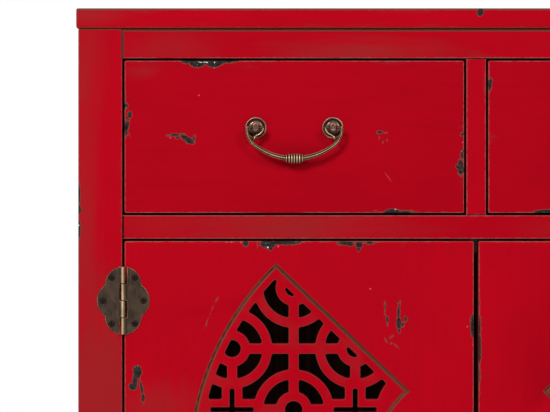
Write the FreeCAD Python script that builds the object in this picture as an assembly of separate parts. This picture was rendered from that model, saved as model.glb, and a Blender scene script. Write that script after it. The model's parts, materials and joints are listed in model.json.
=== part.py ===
import FreeCAD, Part
import math
import os
from FreeCAD import Vector

# Entryway cabinet: two drawers over a pair of doors with fan-shaped fretwork, on a post-and-rail frame.
# Millimetres. X runs to the right, Y to the back, Z up. The origin is on the floor, under the middle of
# the space that the cabinet and its drawer pulls take up.

# Top board and legs
top_width = 800.0
top_depth = 350.0
top_thickness = 20.0
top_overhang = 2.0
top_edge_round = 2.0
leg_height = 101.5

# Posts, rails and their mortise-and-tenon joints
post_width = 44.0
post_end_chamfer = 1.6
rail_thickness = 24.0
top_rail_height = 30.0
mid_rail_height = 23.5
bottom_rail_height = 24.0
muntin_width = 19.6
muntin_tenon_length = 8.0
tenon_length = 18.0
tenon_thickness = 10.0
tenon_shoulder = 2.0
joint_fit = 0.2

# Panels and boards of the case
panel_thickness = 10.0
panel_recess = 6.0
panel_groove = 8.0
back_panel_thickness = 8.0
bottom_thickness = 14.0
shelf_thickness = 14.0
shelf_side_gap = 1.0
shelf_setback = 30.0
cleat_width = 16.0
cleat_height = 18.0

# Aprons under the bottom rails
apron_thickness = 16.0
apron_setback = 3.0
apron_height = 28.0
bracket_height = 62.0
bracket_toe = 12.0

# Drawer and door openings
drawer_opening_height = 157.0
door_opening_height = 464.0
drawer_gap = 2.3
door_gap = 2.3
meeting_gap = 4.8

# Drawers
drawer_front_thickness = 20.0
drawer_back_clearance = 20.0
drawer_side_thickness = 12.0
drawer_side_drop = 12.0
drawer_back_thickness = 12.0
drawer_back_inset = 10.0
drawer_back_dado = 5.0
drawer_bottom_thickness = 6.0
drawer_bottom_height = 10.0
drawer_bottom_groove = 6.0
dovetail_count = 3
dovetail_width = 26.0
dovetail_flare = 3.0
dovetail_lap = 6.0

# Drawer runners and stops
bearer_width = 18.0
guide_width = 14.0
guide_height = 16.0
slide_clearance = 0.4
stop_length = 40.0
stop_height = 9.0

# Doors and their let-in fan panels
door_thickness = 20.0
fret_thickness = 12.0
fret_ledge = 6.0
seam_width = 4.0
fan_side_margin = 65.2
fan_top_margin = 24.6
fan_inner_radius = 105.4
fan_side_offset = 9.6
fan_border = 8.7

# Lattice of the fan: rings on a chequered grid, joined by bars and open crosses
lattice_pitch = 61.6
lattice_rise = 61.0
lattice_shift = 2.3
ring_hole_radius = 8.6
inner_ring_radius = 18.1
outer_ring_bore = 30.5
outer_ring_radius = 40.1
lattice_bar_width = 10.2
cross_slot_width = 4.9
cross_bar_width = 7.9
hole_corner_radius = 1.6
hole_corner_share = 0.95
smallest_hole_area = 20.0

# Butterfly hinges
hinge_half_height = 34.0
hinge_half_width = 26.3
hinge_end_lobe_radius = 18.1
hinge_side_lobe_radius = 18.9
hinge_inset = 25.5
hinge_leaf_thickness = 1.4
knuckle_radius = 2.0
knuckle_count = 4
knuckle_clearance = 0.3
hinge_pin_radius = 1.0
hinge_pin_fit = 0.05
hinge_screw_places = ((11.7, 23.0), (20.5, 0.0), (11.7, -23.0))

# Wood screws of the hinges
screw_head_radius = 3.3
screw_head_height = 1.5
screw_shank_radius = 1.4
screw_length = 14.0
screw_fit = 0.05
screw_slot_width = 0.9
screw_slot_length = 4.2
screw_slot_depth = 0.8

# Pull roses, eye posts and nuts
rose_radius = 10.5
rose_rim_height = 1.3
rose_rim_width = 1.2
rose_groove_depth = 0.5
rose_dome_radius = 8.2
rose_dome_height = 4.2
rose_hub_radius = 3.6
eye_axis_out = 12.0
eye_width = 6.5
eye_height = 9.5
eye_depth = 9.0
eye_round = 1.5
eye_neck_radius = 3.0
eye_shank_radius = 2.4
eye_shank_fit = 0.1
eye_tail = 2.0
nut_flats = 8.0
nut_thickness = 4.0

# Drawer bails
pull_spacing = 77.0
pull_rise = 9.0
bail_half_width = 47.2
bail_drop = 31.0
bail_corner_radius = 20.0
bail_corner_start = 2.0
bail_end_radius = 1.4
bail_middle_radius = 2.4
bail_pivot_radius = 1.5
bail_pivot_fit = 0.1
bail_pivot_depth = 2.4
spur_ring_radius = 7.6
spur_wire_radius = 1.0
spur_sweep_degrees = 72.0
spur_tail_radius = 6.5
collar_length = 18.0
collar_radius = 5.0
collar_end_radius = 4.0
collar_beads = 7

# Door ring pulls
ring_pull_inset = 28.0
ring_radius = 16.0
ring_wire_radius = 1.7
ring_eye_fit = 0.5

# Magnetic catch and its strikes
catch_length = 48.0
catch_height = 14.0
catch_depth = 20.0
catch_gap = 0.4
strike_length = 20.0
strike_height = 13.0
strike_thickness = 1.2
strike_edge = 1.5

# Places worked out from the driving dimensions
body_width = top_width - 2 * top_overhang
body_depth = top_depth - 2 * top_overhang
side = body_width / 2
inner = side - post_width
pull_reach = eye_axis_out + collar_radius
front = pull_reach - (pull_reach + body_depth + top_overhang) / 2
back = front + body_depth

bottom_rail_under = leg_height
bottom_rail_top = bottom_rail_under + bottom_rail_height
mid_rail_under = bottom_rail_top + door_opening_height
mid_rail_top = mid_rail_under + mid_rail_height
top_rail_under = mid_rail_top + drawer_opening_height
case_top = top_rail_under + top_rail_height
height = case_top + top_thickness

rail_back = front + rail_thickness
back_rail_front = back - rail_thickness
panel_outer = side - panel_recess
panel_inner = panel_outer - panel_thickness
back_panel_back = back - panel_recess
back_panel_front = back_panel_back - back_panel_thickness
inner_rail_back = back_panel_front - joint_fit
inner_rail_front = inner_rail_back - rail_thickness

door_outer = inner - door_gap
door_inner = meeting_gap / 2
door_bottom = bottom_rail_top + door_gap
door_top = mid_rail_under - door_gap
door_back = front + door_thickness
fan_height = (door_bottom + door_top) / 2
hinge_x = -(inner - door_gap / 2)
hinge_y = front - knuckle_radius
hinge_heights = (
    door_top - hinge_inset - hinge_half_height,
    door_bottom + hinge_inset + hinge_half_height,
)

drawer_left = -inner + drawer_gap
drawer_right = -muntin_width / 2 - drawer_gap
drawer_bottom = mid_rail_top + drawer_gap
drawer_top = top_rail_under - drawer_gap
drawer_middle = (drawer_left + drawer_right) / 2
drawer_front_back = front + drawer_front_thickness
drawer_end = back_panel_front - drawer_back_clearance
bearer_top = drawer_bottom - slide_clearance
eye_axis = front - eye_axis_out
pull_height = (drawer_bottom + drawer_top) / 2 + pull_rise


# Basic shapes


def box(xs, ys, zs):
    """A box between two values on each axis, given in any order."""
    corner = Vector(min(xs), min(ys), min(zs))
    return Part.makeBox(abs(xs[1] - xs[0]), abs(ys[1] - ys[0]), abs(zs[1] - zs[0]), corner)


def grown(solid, by):
    """The solid's bounding box, larger by the same amount on every side: the housing for a square piece."""
    b = solid.BoundBox
    return box((b.XMin - by, b.XMax + by), (b.YMin - by, b.YMax + by), (b.ZMin - by, b.ZMax + by))


def rod(radius, start, end):
    """A round bar from one point to another."""
    run = end.sub(start)
    return Part.makeCylinder(radius, run.Length, start, run)


def joined(solids):
    """One solid out of several that meet or overlap."""
    return solids[0].multiFuse(solids[1:]).removeSplitter()


def mirrored(shape):
    """The same shape on the other side of the cabinet's middle plane."""
    return shape.mirror(Vector(0, 0, 0), Vector(1, 0, 0))


def turned(points, centre, axis):
    """A solid of revolution from a closed outline of points, about an axis through centre."""
    outline = Part.makePolygon(points + [points[0]])
    return Part.Face(outline).revolve(centre, axis, 360)


# Case: posts, rails, panels and boards


def rail_between_posts(ys, zs, shoulder_low, shoulder_high):
    """A rail along X with a stub tenon at each end."""
    middle = sum(ys) / 2
    reach = inner + tenon_length
    tenon_ys = (middle - tenon_thickness / 2, middle + tenon_thickness / 2)
    tenon = box((-reach, reach), tenon_ys, (zs[0] + shoulder_low, zs[1] - shoulder_high))
    return joined([box((-inner, inner), ys, zs), tenon])


def side_rail(zs, shoulder_low, shoulder_high):
    """A rail of the left side, along Y between the front and back posts, with a stub tenon at each end."""
    xs = (-side, -side + rail_thickness)
    middle = sum(xs) / 2
    ys = (front + post_width, back - post_width)
    tenon_xs = (middle - tenon_thickness / 2, middle + tenon_thickness / 2)
    tenon_ys = (ys[0] - tenon_length, ys[1] + tenon_length)
    tenon = box(tenon_xs, tenon_ys, (zs[0] + shoulder_low, zs[1] - shoulder_high))
    return joined([box(xs, ys, zs), tenon])


def mortise_for(rail, core):
    """The cavity for a rail's tenons: what of the rail lies outside its own core, with a little room."""
    tenons = rail.cut(core)
    return [grown(piece, joint_fit) for piece in tenons.Solids]


def rails():
    """Every rail of the case by name, and the cavities that its tenons need in the posts."""
    top = (top_rail_under, case_top)
    middle = (mid_rail_under, mid_rail_top)
    bottom = (bottom_rail_under, bottom_rail_top)
    deep = panel_groove + tenon_shoulder
    at_front = (front, rail_back)
    at_back = (back_rail_front, back)
    inside = (inner_rail_front, inner_rail_back)
    made = {
        "front_top_rail": rail_between_posts(at_front, top, tenon_shoulder, tenon_shoulder),
        "front_mid_rail": rail_between_posts(at_front, middle, tenon_shoulder, tenon_shoulder),
        "front_bottom_rail": rail_between_posts(at_front, bottom, tenon_shoulder, tenon_shoulder),
        "back_top": rail_between_posts(at_back, top, deep, tenon_shoulder),
        "back_mid": rail_between_posts(inside, middle, tenon_shoulder, tenon_shoulder),
        "back_bottom": rail_between_posts(at_back, bottom, tenon_shoulder, deep),
        "left_top": side_rail(top, deep, tenon_shoulder),
        "left_bottom": side_rail(bottom, tenon_shoulder, deep),
    }
    between = box((-inner, inner), (front, back), (0, height))
    along = box((-side, side), (front + post_width, back - post_width), (0, height))
    cavities = []
    for name, rail in made.items():
        cavities += mortise_for(rail, along if name.startswith("left") else between)
    return made, cavities


def side_panel():
    """The left side panel, let into grooves in its posts and rails."""
    reach = panel_groove - joint_fit
    return box(
        (-panel_outer, -panel_inner),
        (front + post_width - reach, back - post_width + reach),
        (bottom_rail_top - reach, top_rail_under + reach),
    )


def back_panel():
    """The back panel, let into grooves in the back posts and rails."""
    reach = panel_groove - joint_fit
    return box(
        (-inner - reach, inner + reach),
        (back_panel_front, back_panel_back),
        (bottom_rail_top - reach, top_rail_under + reach),
    )


def post(ys):
    """A left post from the floor to the top board, with its upper end chamfered all round."""
    blank = box((-side, -inner), ys, (0, case_top))
    end = [e for e in blank.Edges if e.BoundBox.ZMin > case_top - post_end_chamfer]
    return blank.makeChamfer(post_end_chamfer, end)


def muntin():
    """The short upright between the drawers, with a stub tenon into the rails above and below."""
    ys = (front, rail_back)
    middle = sum(ys) / 2
    body = box((-muntin_width / 2, muntin_width / 2), ys, (mid_rail_top, top_rail_under))
    tenon = box(
        (-muntin_width / 4, muntin_width / 4),
        (middle - tenon_thickness / 2, middle + tenon_thickness / 2),
        (mid_rail_top - muntin_tenon_length, top_rail_under + muntin_tenon_length),
    )
    return joined([body, tenon]), grown(tenon, joint_fit)


def top_board():
    """The top, rounded on all its edges."""
    xs = (-top_width / 2, top_width / 2)
    ys = (front - top_overhang, back + top_overhang)
    blank = box(xs, ys, (case_top, height))
    return blank.makeFillet(top_edge_round, blank.Edges)


def bottom_board(posts):
    """The cupboard floor. It lies on the bottom rails, is notched round the posts and stops the doors."""
    ys = (door_back + catch_gap, back_panel_front - joint_fit)
    zs = (bottom_rail_top, bottom_rail_top + bottom_thickness)
    reach = panel_inner - joint_fit
    board = box((-reach, reach), ys, zs)
    return board.cut([grown(p, joint_fit) for p in posts])


def shelf_and_cleats():
    """A loose shelf halfway up the cupboard, on a cleat fixed to the posts at each end."""
    under = fan_height - shelf_thickness / 2
    ys = (front + shelf_setback, back_panel_front - joint_fit)
    reach = inner - shelf_side_gap
    shelf = box((-reach, reach), ys, (under, under + shelf_thickness))
    cleat_ys = (front + shelf_setback, back_panel_front - joint_fit)
    cleat = box((-inner, -inner + cleat_width), cleat_ys, (under - cleat_height, under))
    return shelf, [cleat, mirrored(cleat)]


def runners():
    """Drawer runners: an angle along each side and a tee behind the muntin."""
    ys = (rail_back, inner_rail_front)
    guide_ys = (front + post_width, back - post_width)
    lift = bearer_top + guide_height
    bearer = box((-inner, -inner + bearer_width), ys, (mid_rail_under, bearer_top))
    guide = box((-inner - guide_width, -inner), guide_ys, (mid_rail_under, lift))
    outer = joined([bearer, guide])
    half = muntin_width / 2
    base = box((-half - bearer_width, half + bearer_width), ys, (mid_rail_under, bearer_top))
    fin = box((-half, half), ys, (bearer_top, lift))
    return outer, joined([base, fin])


def drawer_stop():
    """A block on the mid rail, against the inside of the left drawer's front when that is shut."""
    half = stop_length / 2
    return box(
        (drawer_middle - half, drawer_middle + half),
        (drawer_front_back + slide_clearance, rail_back),
        (mid_rail_top, mid_rail_top + stop_height),
    )


def apron_outline(length):
    """The apron's face, in its own plane: straight along the top, with a rounded bracket at each end."""
    half = length / 2
    round_off = bracket_height - apron_height
    toe = half - bracket_toe
    start = toe - round_off
    slant = round_off * (1 - math.sqrt(0.5))
    corners = [
        Vector(-start, 0, -apron_height),
        Vector(start, 0, -apron_height),
        Vector(toe, 0, -bracket_height),
        Vector(half, 0, -bracket_height),
        Vector(half, 0, 0),
        Vector(-half, 0, 0),
        Vector(-half, 0, -bracket_height),
        Vector(-toe, 0, -bracket_height),
    ]
    rise = Vector(toe - slant, 0, -apron_height - slant)
    fall = Vector(-toe + slant, 0, -apron_height - slant)
    edges = [Part.LineSegment(corners[0], corners[1]).toShape()]
    edges.append(Part.Arc(corners[1], rise, corners[2]).toShape())
    for i in range(2, 7):
        edges.append(Part.LineSegment(corners[i], corners[i + 1]).toShape())
    edges.append(Part.Arc(corners[7], fall, corners[0]).toShape())
    return Part.Face(Part.Wire(edges))


def aprons():
    """The front apron, and one under each side rail."""
    front_apron = apron_outline(2 * inner).extrude(Vector(0, apron_thickness, 0))
    front_apron.translate(Vector(0, front + apron_setback, bottom_rail_under))
    side_apron = apron_outline(body_depth - 2 * post_width).extrude(Vector(0, apron_thickness, 0))
    side_apron.rotate(Vector(0, 0, 0), Vector(0, 0, 1), -90)
    side_apron.translate(Vector(-side + apron_setback, (front + back) / 2, bottom_rail_under))
    return front_apron, [side_apron, mirrored(side_apron)]


# Hinges


def hinge_outline():
    """The cloud-shaped plan of both leaves together, as one thin plate about the hinge's own middle."""
    end = hinge_half_height - hinge_end_lobe_radius
    out = hinge_half_width - hinge_side_lobe_radius
    lobes = [
        (hinge_end_lobe_radius, 0, end),
        (hinge_end_lobe_radius, 0, -end),
        (hinge_side_lobe_radius, out, 0),
        (hinge_side_lobe_radius, -out, 0),
    ]
    towards = Vector(0, -1, 0)
    discs = [
        Part.makeCylinder(r, hinge_leaf_thickness, Vector(x, 0, z), towards) for r, x, z in lobes
    ]
    return joined(discs)


def knuckle_span(index):
    """The lower and upper end of one knuckle, counted from the top, about the hinge's middle."""
    pitch = 2 * hinge_half_height / knuckle_count
    upper = hinge_half_height - index * pitch
    return upper - pitch + knuckle_clearance / 2, upper - knuckle_clearance / 2


def hinge_leaf(toward):
    """One leaf about the hinge's middle. The leaf lies on the side that toward points to, and has every
    other knuckle: the post's leaf, on the left, has the first."""
    clear = knuckle_radius + knuckle_clearance
    far = 2 * hinge_half_width
    tall = 2 * hinge_half_height
    plate = hinge_outline().common(
        box((toward * clear, toward * far), (-hinge_leaf_thickness, 0), (-tall, tall))
    )
    pieces = [plate]
    for index in range(0 if toward < 0 else 1, knuckle_count, 2):
        low, high = knuckle_span(index)
        barrel_foot = Vector(0, -knuckle_radius, low)
        pieces.append(rod(knuckle_radius, barrel_foot, Vector(0, -knuckle_radius, high)))
        pieces.append(box((0, toward * clear), (-hinge_leaf_thickness, 0), (low, high)))
    leaf = joined(pieces)
    bore = hinge_pin_radius + hinge_pin_fit
    holes = [rod(bore, Vector(0, -knuckle_radius, -tall), Vector(0, -knuckle_radius, tall))]
    for x, z in hinge_screw_places:
        hole_start = Vector(toward * x, -tall, z)
        holes.append(rod(screw_shank_radius + screw_fit, hole_start, Vector(toward * x, tall, z)))
    return leaf.cut(holes)


def hinge_pin():
    """The pin through a hinge's knuckles."""
    return rod(
        hinge_pin_radius,
        Vector(0, -knuckle_radius, -hinge_half_height),
        Vector(0, -knuckle_radius, hinge_half_height),
    )


def wood_screw():
    """A round-headed cross-slotted screw along +Y, with the underside of its head at the origin."""
    sphere = (screw_head_radius**2 + screw_head_height**2) / (2 * screw_head_height)
    dome = Part.makeSphere(sphere, Vector(0, sphere - screw_head_height, 0))
    head = dome.common(
        box((-sphere, sphere), (-screw_head_height, 0), (-sphere, sphere))
    )
    shank = rod(screw_shank_radius, Vector(0, 0, 0), Vector(0, screw_length, 0))
    screw = joined([head, shank])
    depth = (-screw_head_height - screw_slot_depth, -screw_head_height + screw_slot_depth)
    long_way = (-screw_slot_length / 2, screw_slot_length / 2)
    narrow_way = (-screw_slot_width / 2, screw_slot_width / 2)
    return screw.cut([box(long_way, depth, narrow_way), box(narrow_way, depth, long_way)])


def placed_on_hinges(shape, xs=0.0):
    """Copies of a shape at the left hinges' middles, moved along X by xs."""
    copies = []
    for z in hinge_heights:
        copy = shape.copy()
        copy.translate(Vector(hinge_x + xs, front, z))
        copies.append(copy)
    return copies


def hinge_screws(toward):
    """The screws of the left hinges' leaves on one side, and their pilot holes."""
    screws = []
    pilots = []
    for x, z in hinge_screw_places:
        screw = wood_screw()
        screw.translate(Vector(0, -hinge_leaf_thickness, z))
        screws += placed_on_hinges(screw, toward * x)
        pilot = rod(screw_shank_radius + screw_fit, Vector(0, 0, z), Vector(0, screw_length, z))
        pilots += placed_on_hinges(pilot, toward * x)
    return screws, pilots


# Doors and fan panels


def fan_outline(inset, y):
    """The fan's outline on the left door, at depth y and smaller by inset all round: an outer arc, an inner
    arc and two straight sides. The arcs are centred on the line where the doors meet."""
    full_outer = door_outer - fan_side_margin
    apex_rise = (door_top - door_bottom) / 2 - fan_top_margin
    slope = math.asin(apex_rise / full_outer) - math.asin(fan_side_offset / full_outer)
    outer = full_outer - inset
    inner_radius = fan_inner_radius + inset
    off = fan_side_offset - inset

    def corner(radius, sign):
        run = math.sqrt(radius**2 - off**2)
        x = off * math.sin(slope) - run * math.cos(slope)
        z = off * math.cos(slope) + run * math.sin(slope)
        return Vector(x, y, fan_height + sign * z)

    top_out = corner(outer, 1)
    low_out = corner(outer, -1)
    top_in = corner(inner_radius, 1)
    low_in = corner(inner_radius, -1)
    edges = [
        Part.Arc(top_out, Vector(-outer, y, fan_height), low_out).toShape(),
        Part.LineSegment(low_out, low_in).toShape(),
        Part.Arc(low_in, Vector(-inner_radius, y, fan_height), top_in).toShape(),
        Part.LineSegment(top_in, top_out).toShape(),
    ]
    return Part.Wire(edges)


def fan_prism(inset, y_start, y_end):
    """A straight-sided block with the fan's outline."""
    return Part.Face(fan_outline(inset, y_start)).extrude(Vector(0, y_end - y_start, 0))


def fan_bevel(inset_front, inset_back, depth):
    """A block with the fan's outline whose sides slope from one inset at the face to another behind it."""
    wires = [fan_outline(inset_front, front), fan_outline(inset_back, front + depth)]
    return Part.makeLoft(wires, True, True)


def flat_ring(centre, bore, radius):
    """A flat ring in the plane of the face."""
    facing = Vector(0, -1, 0)
    outer = Part.Face(Part.Wire(Part.makeCircle(radius, centre, facing)))
    return outer.cut(Part.Face(Part.Wire(Part.makeCircle(bore, centre, facing))))


def flat_bar(centre, xs, zs):
    """A flat rectangle in the plane of the face, between offsets from a centre."""
    low = Vector(centre.x + min(xs), centre.y, centre.z + min(zs))
    return Part.makePlane(abs(xs[1] - xs[0]), abs(zs[1] - zs[0]), low, Vector(0, -1, 0), Vector(1, 0, 0))


def bars_on_both_axes(centre, half_width, start, end):
    """Bars from a centre, one each way along X and Z, without those that would end outside the fan's arc."""
    across = (-half_width, half_width)
    field = door_outer - fan_side_margin - fan_border
    made = []
    for sign in (-1, 1):
        run = (sign * start, sign * end)
        if math.hypot(centre.x + run[1], centre.z - fan_height) < field:
            made.append(flat_bar(centre, run, across))
        if math.hypot(centre.x, centre.z + run[1] - fan_height) < field:
            made.append(flat_bar(centre, across, run))
    return made


def open_cross(centre, reach):
    """Four angle pieces that leave a cross-shaped slot between them."""
    near = cross_slot_width / 2
    far = near + cross_bar_width
    made = []
    for sx in (-1, 1):
        for sz in (-1, 1):
            made.append(flat_bar(centre, (sx * near, sx * far), (sz * near, sz * reach)))
            made.append(flat_bar(centre, (sx * near, sx * reach), (sz * near, sz * far)))
    return made


def lattice():
    """The lattice as flat shapes that overlap where they join, over the whole of the fan's field."""
    reach = door_outer - fan_side_margin
    count = math.ceil(reach / min(lattice_pitch, lattice_rise))
    half_bar = lattice_bar_width / 2
    ring_middle = (outer_ring_bore + outer_ring_radius) / 2
    hub_middle = (ring_hole_radius + inner_ring_radius) / 2
    gap = lattice_pitch - ring_middle
    shapes = []
    for column in range(-count, 1):
        for row in range(-count, count + 1):
            x = lattice_shift + column * lattice_pitch
            centre = Vector(x, front, fan_height + row * lattice_rise)
            if (column + row) % 2 == 0:
                shapes.append(flat_ring(centre, ring_hole_radius, inner_ring_radius))
                shapes.append(flat_ring(centre, outer_ring_bore, outer_ring_radius))
                shapes += bars_on_both_axes(centre, half_bar, hub_middle, ring_middle)
            elif row % 2 == 0:
                shapes += bars_on_both_axes(centre, half_bar, 0, gap)
            else:
                shapes += open_cross(centre, gap)
    return shapes


def rounded(opening):
    """A flat opening with its corners rounded, as a cutter leaves them. A small one takes a smaller cutter."""
    radius = min(hole_corner_radius, hole_corner_share * opening.Area / opening.Length)
    return opening.makeOffset2D(-radius).makeOffset2D(radius)


def fan_panel():
    """The left fan: a panel let into the door, pierced by everything in its field that isn't lattice."""
    seam = seam_width / 2
    fit = joint_fit / 2
    edge = fan_bevel(seam, fit, seam)
    body = fan_prism(fit, front + seam, front + fret_thickness)
    field = Part.Face(fan_outline(fan_border, front))
    pierced = field.cut(lattice())
    openings = [rounded(f) for f in pierced.Faces if f.Area > smallest_hole_area]
    holes = [f.extrude(Vector(0, fret_thickness, 0)) for f in openings]
    return joined([edge, body]).cut(holes)


def door_leaf(pilots):
    """The left door, with a stepped window for its fan panel and holes for its hardware."""
    seam = seam_width / 2
    fit = joint_fit / 2
    blank = box((-door_outer, -door_inner), (front, door_back), (door_bottom, door_top))
    cuts = [
        fan_bevel(-seam, -fit, seam),
        fan_prism(-fit, front + seam, front + fret_thickness),
        fan_prism(fret_ledge, front + fret_thickness, door_back),
        eye_shank_hole(door_pull_place(), door_thickness),
    ]
    return blank.cut(cuts + pilots)


def strike():
    """The left door's steel strike, on its back at the upper corner where the doors meet."""
    far = door_inner + strike_edge + strike_length
    top = door_top - strike_edge
    return box(
        (-far, -door_inner - strike_edge),
        (door_back, door_back + strike_thickness),
        (top - strike_height, top),
    )


def magnet_catch():
    """A double magnetic catch under the middle runner, just behind both strikes."""
    near = door_back + strike_thickness + catch_gap
    return box(
        (-catch_length / 2, catch_length / 2),
        (near, near + catch_depth),
        (mid_rail_under - catch_height, mid_rail_under),
    )


# Drawers


def dovetails(x_start, x_end):
    """The tails of one drawer side: wider towards the front, where they lock into the drawer front."""
    side_height = drawer_top - drawer_side_drop - drawer_bottom
    root = drawer_front_back
    tip = front + dovetail_lap
    tails = []
    for i in range(dovetail_count):
        z = drawer_bottom + (i + 0.5) * side_height / dovetail_count
        half_root = dovetail_width / 2
        half_tip = half_root + dovetail_flare
        outline = [
            Vector(x_start, root, z - half_root),
            Vector(x_start, tip, z - half_tip),
            Vector(x_start, tip, z + half_tip),
            Vector(x_start, root, z + half_root),
        ]
        face = Part.Face(Part.makePolygon(outline + [outline[0]]))
        tails.append(face.extrude(Vector(x_end - x_start, 0, 0)))
    return tails


def drawer():
    """The pieces of the left drawer: front, sides, back and bottom."""
    upper = drawer_top - drawer_side_drop
    left_xs = (drawer_left, drawer_left + drawer_side_thickness)
    right_xs = (drawer_right - drawer_side_thickness, drawer_right)
    back_ys = (drawer_end - drawer_back_inset - drawer_back_thickness, drawer_end - drawer_back_inset)
    floor = drawer_bottom + drawer_bottom_height
    floor_top = floor + drawer_bottom_thickness
    groove = drawer_bottom_groove - joint_fit
    dado = drawer_back_dado - joint_fit
    bottom = box(
        (left_xs[1] - groove, right_xs[0] + groove),
        (drawer_front_back - groove, back_ys[1]),
        (floor, floor_top),
    )
    back_board = box(
        (left_xs[1] - dado, right_xs[0] + dado),
        back_ys,
        (floor_top + joint_fit, upper),
    )
    housings = [grown(bottom, joint_fit), grown(back_board, joint_fit)]
    sides = []
    tails = []
    for xs in (left_xs, right_xs):
        board = box(xs, (drawer_front_back, drawer_end), (drawer_bottom, upper))
        own_tails = dovetails(*xs)
        tails += own_tails
        sides.append(joined([board] + own_tails).cut(housings))
    face = box((drawer_left, drawer_right), (front, drawer_front_back), (drawer_bottom, drawer_top))
    holes = [eye_shank_hole(place, drawer_front_thickness) for place in drawer_pull_places()]
    drawer_front = face.cut(tails + holes + [grown(bottom, joint_fit)])
    return {"front": drawer_front, "sides": sides, "back": back_board, "bottom": bottom}


# Pulls


def drawer_pull_places():
    """Where the left drawer's two eye posts pass through its face."""
    half = pull_spacing / 2
    return [Vector(drawer_middle + s * half, front, pull_height) for s in (-1, 1)]


def door_pull_place():
    """Where the left door's eye post passes through its face, so that its ring hangs at the fan's middle."""
    return Vector(-door_inner - ring_pull_inset, front, fan_height + ring_radius)


def eye_shank_hole(place, depth):
    """The hole for an eye post's shank through a board of that thickness."""
    return rod(eye_shank_radius + eye_shank_fit, place, place.add(Vector(0, depth, 0)))


def rose(place):
    """The round plate under an eye post: a raised rim, a groove and a dome with a flat hub."""
    bore = eye_shank_radius + eye_shank_fit
    valley = rose_rim_height - rose_groove_depth
    dome_steps = 6
    points = [Vector(bore, 0, 0), Vector(rose_radius, 0, 0), Vector(rose_radius, -rose_rim_height, 0)]
    points.append(Vector(rose_radius - rose_rim_width, -rose_rim_height, 0))
    for i in range(dome_steps + 1):
        along = i / dome_steps
        radius = rose_dome_radius + (rose_hub_radius - rose_dome_radius) * along
        lift = valley + (rose_dome_height - valley) * math.sin(along * math.pi / 2)
        points.append(Vector(radius, -lift, 0))
    points.append(Vector(bore, -rose_dome_height, 0))
    plate = turned(points, Vector(0, 0, 0), Vector(0, 1, 0))
    plate.translate(place)
    return plate


def eye_post(place, thickness, hole_radius):
    """A post with a pierced head in front of the rose and a shank through the board to its nut."""
    flat = eye_height / 2 - eye_width / 2
    head_front = -eye_axis_out - eye_depth / 2
    head_back = head_front + eye_depth
    rounds = [
        rod(eye_width / 2, Vector(0, head_front, z), Vector(0, head_back, z)) for z in (-flat, flat)
    ]
    slab = box((-eye_width / 2, eye_width / 2), (head_front, head_back), (-flat, flat))
    head = joined(rounds + [slab])
    rim = [e for e in head.Edges if e.BoundBox.YMax < head_front + eye_round]
    head = head.makeFillet(eye_round, rim)
    neck = rod(eye_neck_radius, Vector(0, head_back, 0), Vector(0, -rose_dome_height, 0))
    tail = thickness + nut_thickness + eye_tail
    shank = rod(eye_shank_radius, Vector(0, -rose_dome_height, 0), Vector(0, tail, 0))
    eye = rod(
        hole_radius,
        Vector(-eye_width, -eye_axis_out, 0),
        Vector(eye_width, -eye_axis_out, 0),
    )
    whole = joined([head, neck, shank]).cut(eye)
    whole.translate(place)
    return whole


def nut(place, thickness):
    """The hexagon nut on an eye post, against the back of the board."""
    radius = nut_flats / math.sqrt(3)
    corners = [
        Vector(radius * math.cos(a), 0, radius * math.sin(a))
        for a in (i * math.pi / 3 for i in range(6))
    ]
    hexagon = Part.Face(Part.makePolygon(corners + [corners[0]]))
    body = hexagon.extrude(Vector(0, nut_thickness, 0))
    bore = rod(eye_shank_radius + joint_fit, Vector(0, -1, 0), Vector(0, nut_thickness + 1, 0))
    whole = body.cut(bore)
    whole.translate(place.add(Vector(0, thickness, 0)))
    return whole


def bail_arm():
    """The left half of a drawer bail, about the middle between its pivots: a tapered bar along a tight
    corner arc and a wide bottom arc that meet tangentially."""
    corner_x = -bail_half_width + bail_corner_radius
    side_run = bail_drop - bail_corner_start
    wide = (corner_x**2 + side_run**2 - bail_corner_radius**2) / (2 * (side_run - bail_corner_radius))
    wide_centre = Vector(0, 0, -bail_drop + wide)
    corner_centre = Vector(corner_x, 0, -bail_corner_start)
    to_corner = corner_centre.sub(wide_centre).normalize()
    meet = wide_centre.add(to_corner * wide)
    start = Vector(-bail_half_width, 0, -bail_corner_start)
    corner_half = corner_centre.add((Vector(-1, 0, 0).add(to_corner)).normalize() * bail_corner_radius)
    end = Vector(0, 0, -bail_drop)
    wide_half = wide_centre.add((Vector(0, 0, -1).add(to_corner)).normalize() * wide)
    spine = Part.Wire(
        [
            Part.Arc(start, corner_half, meet).toShape(),
            Part.Arc(meet, wide_half, end).toShape(),
        ]
    )
    thin = Part.Wire(Part.makeCircle(bail_end_radius, start, Vector(0, 0, -1)))
    thick = Part.Wire(Part.makeCircle(bail_middle_radius, end, Vector(1, 0, 0)))
    return spine.makePipeShell([thin, thick], True, False)


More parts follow.
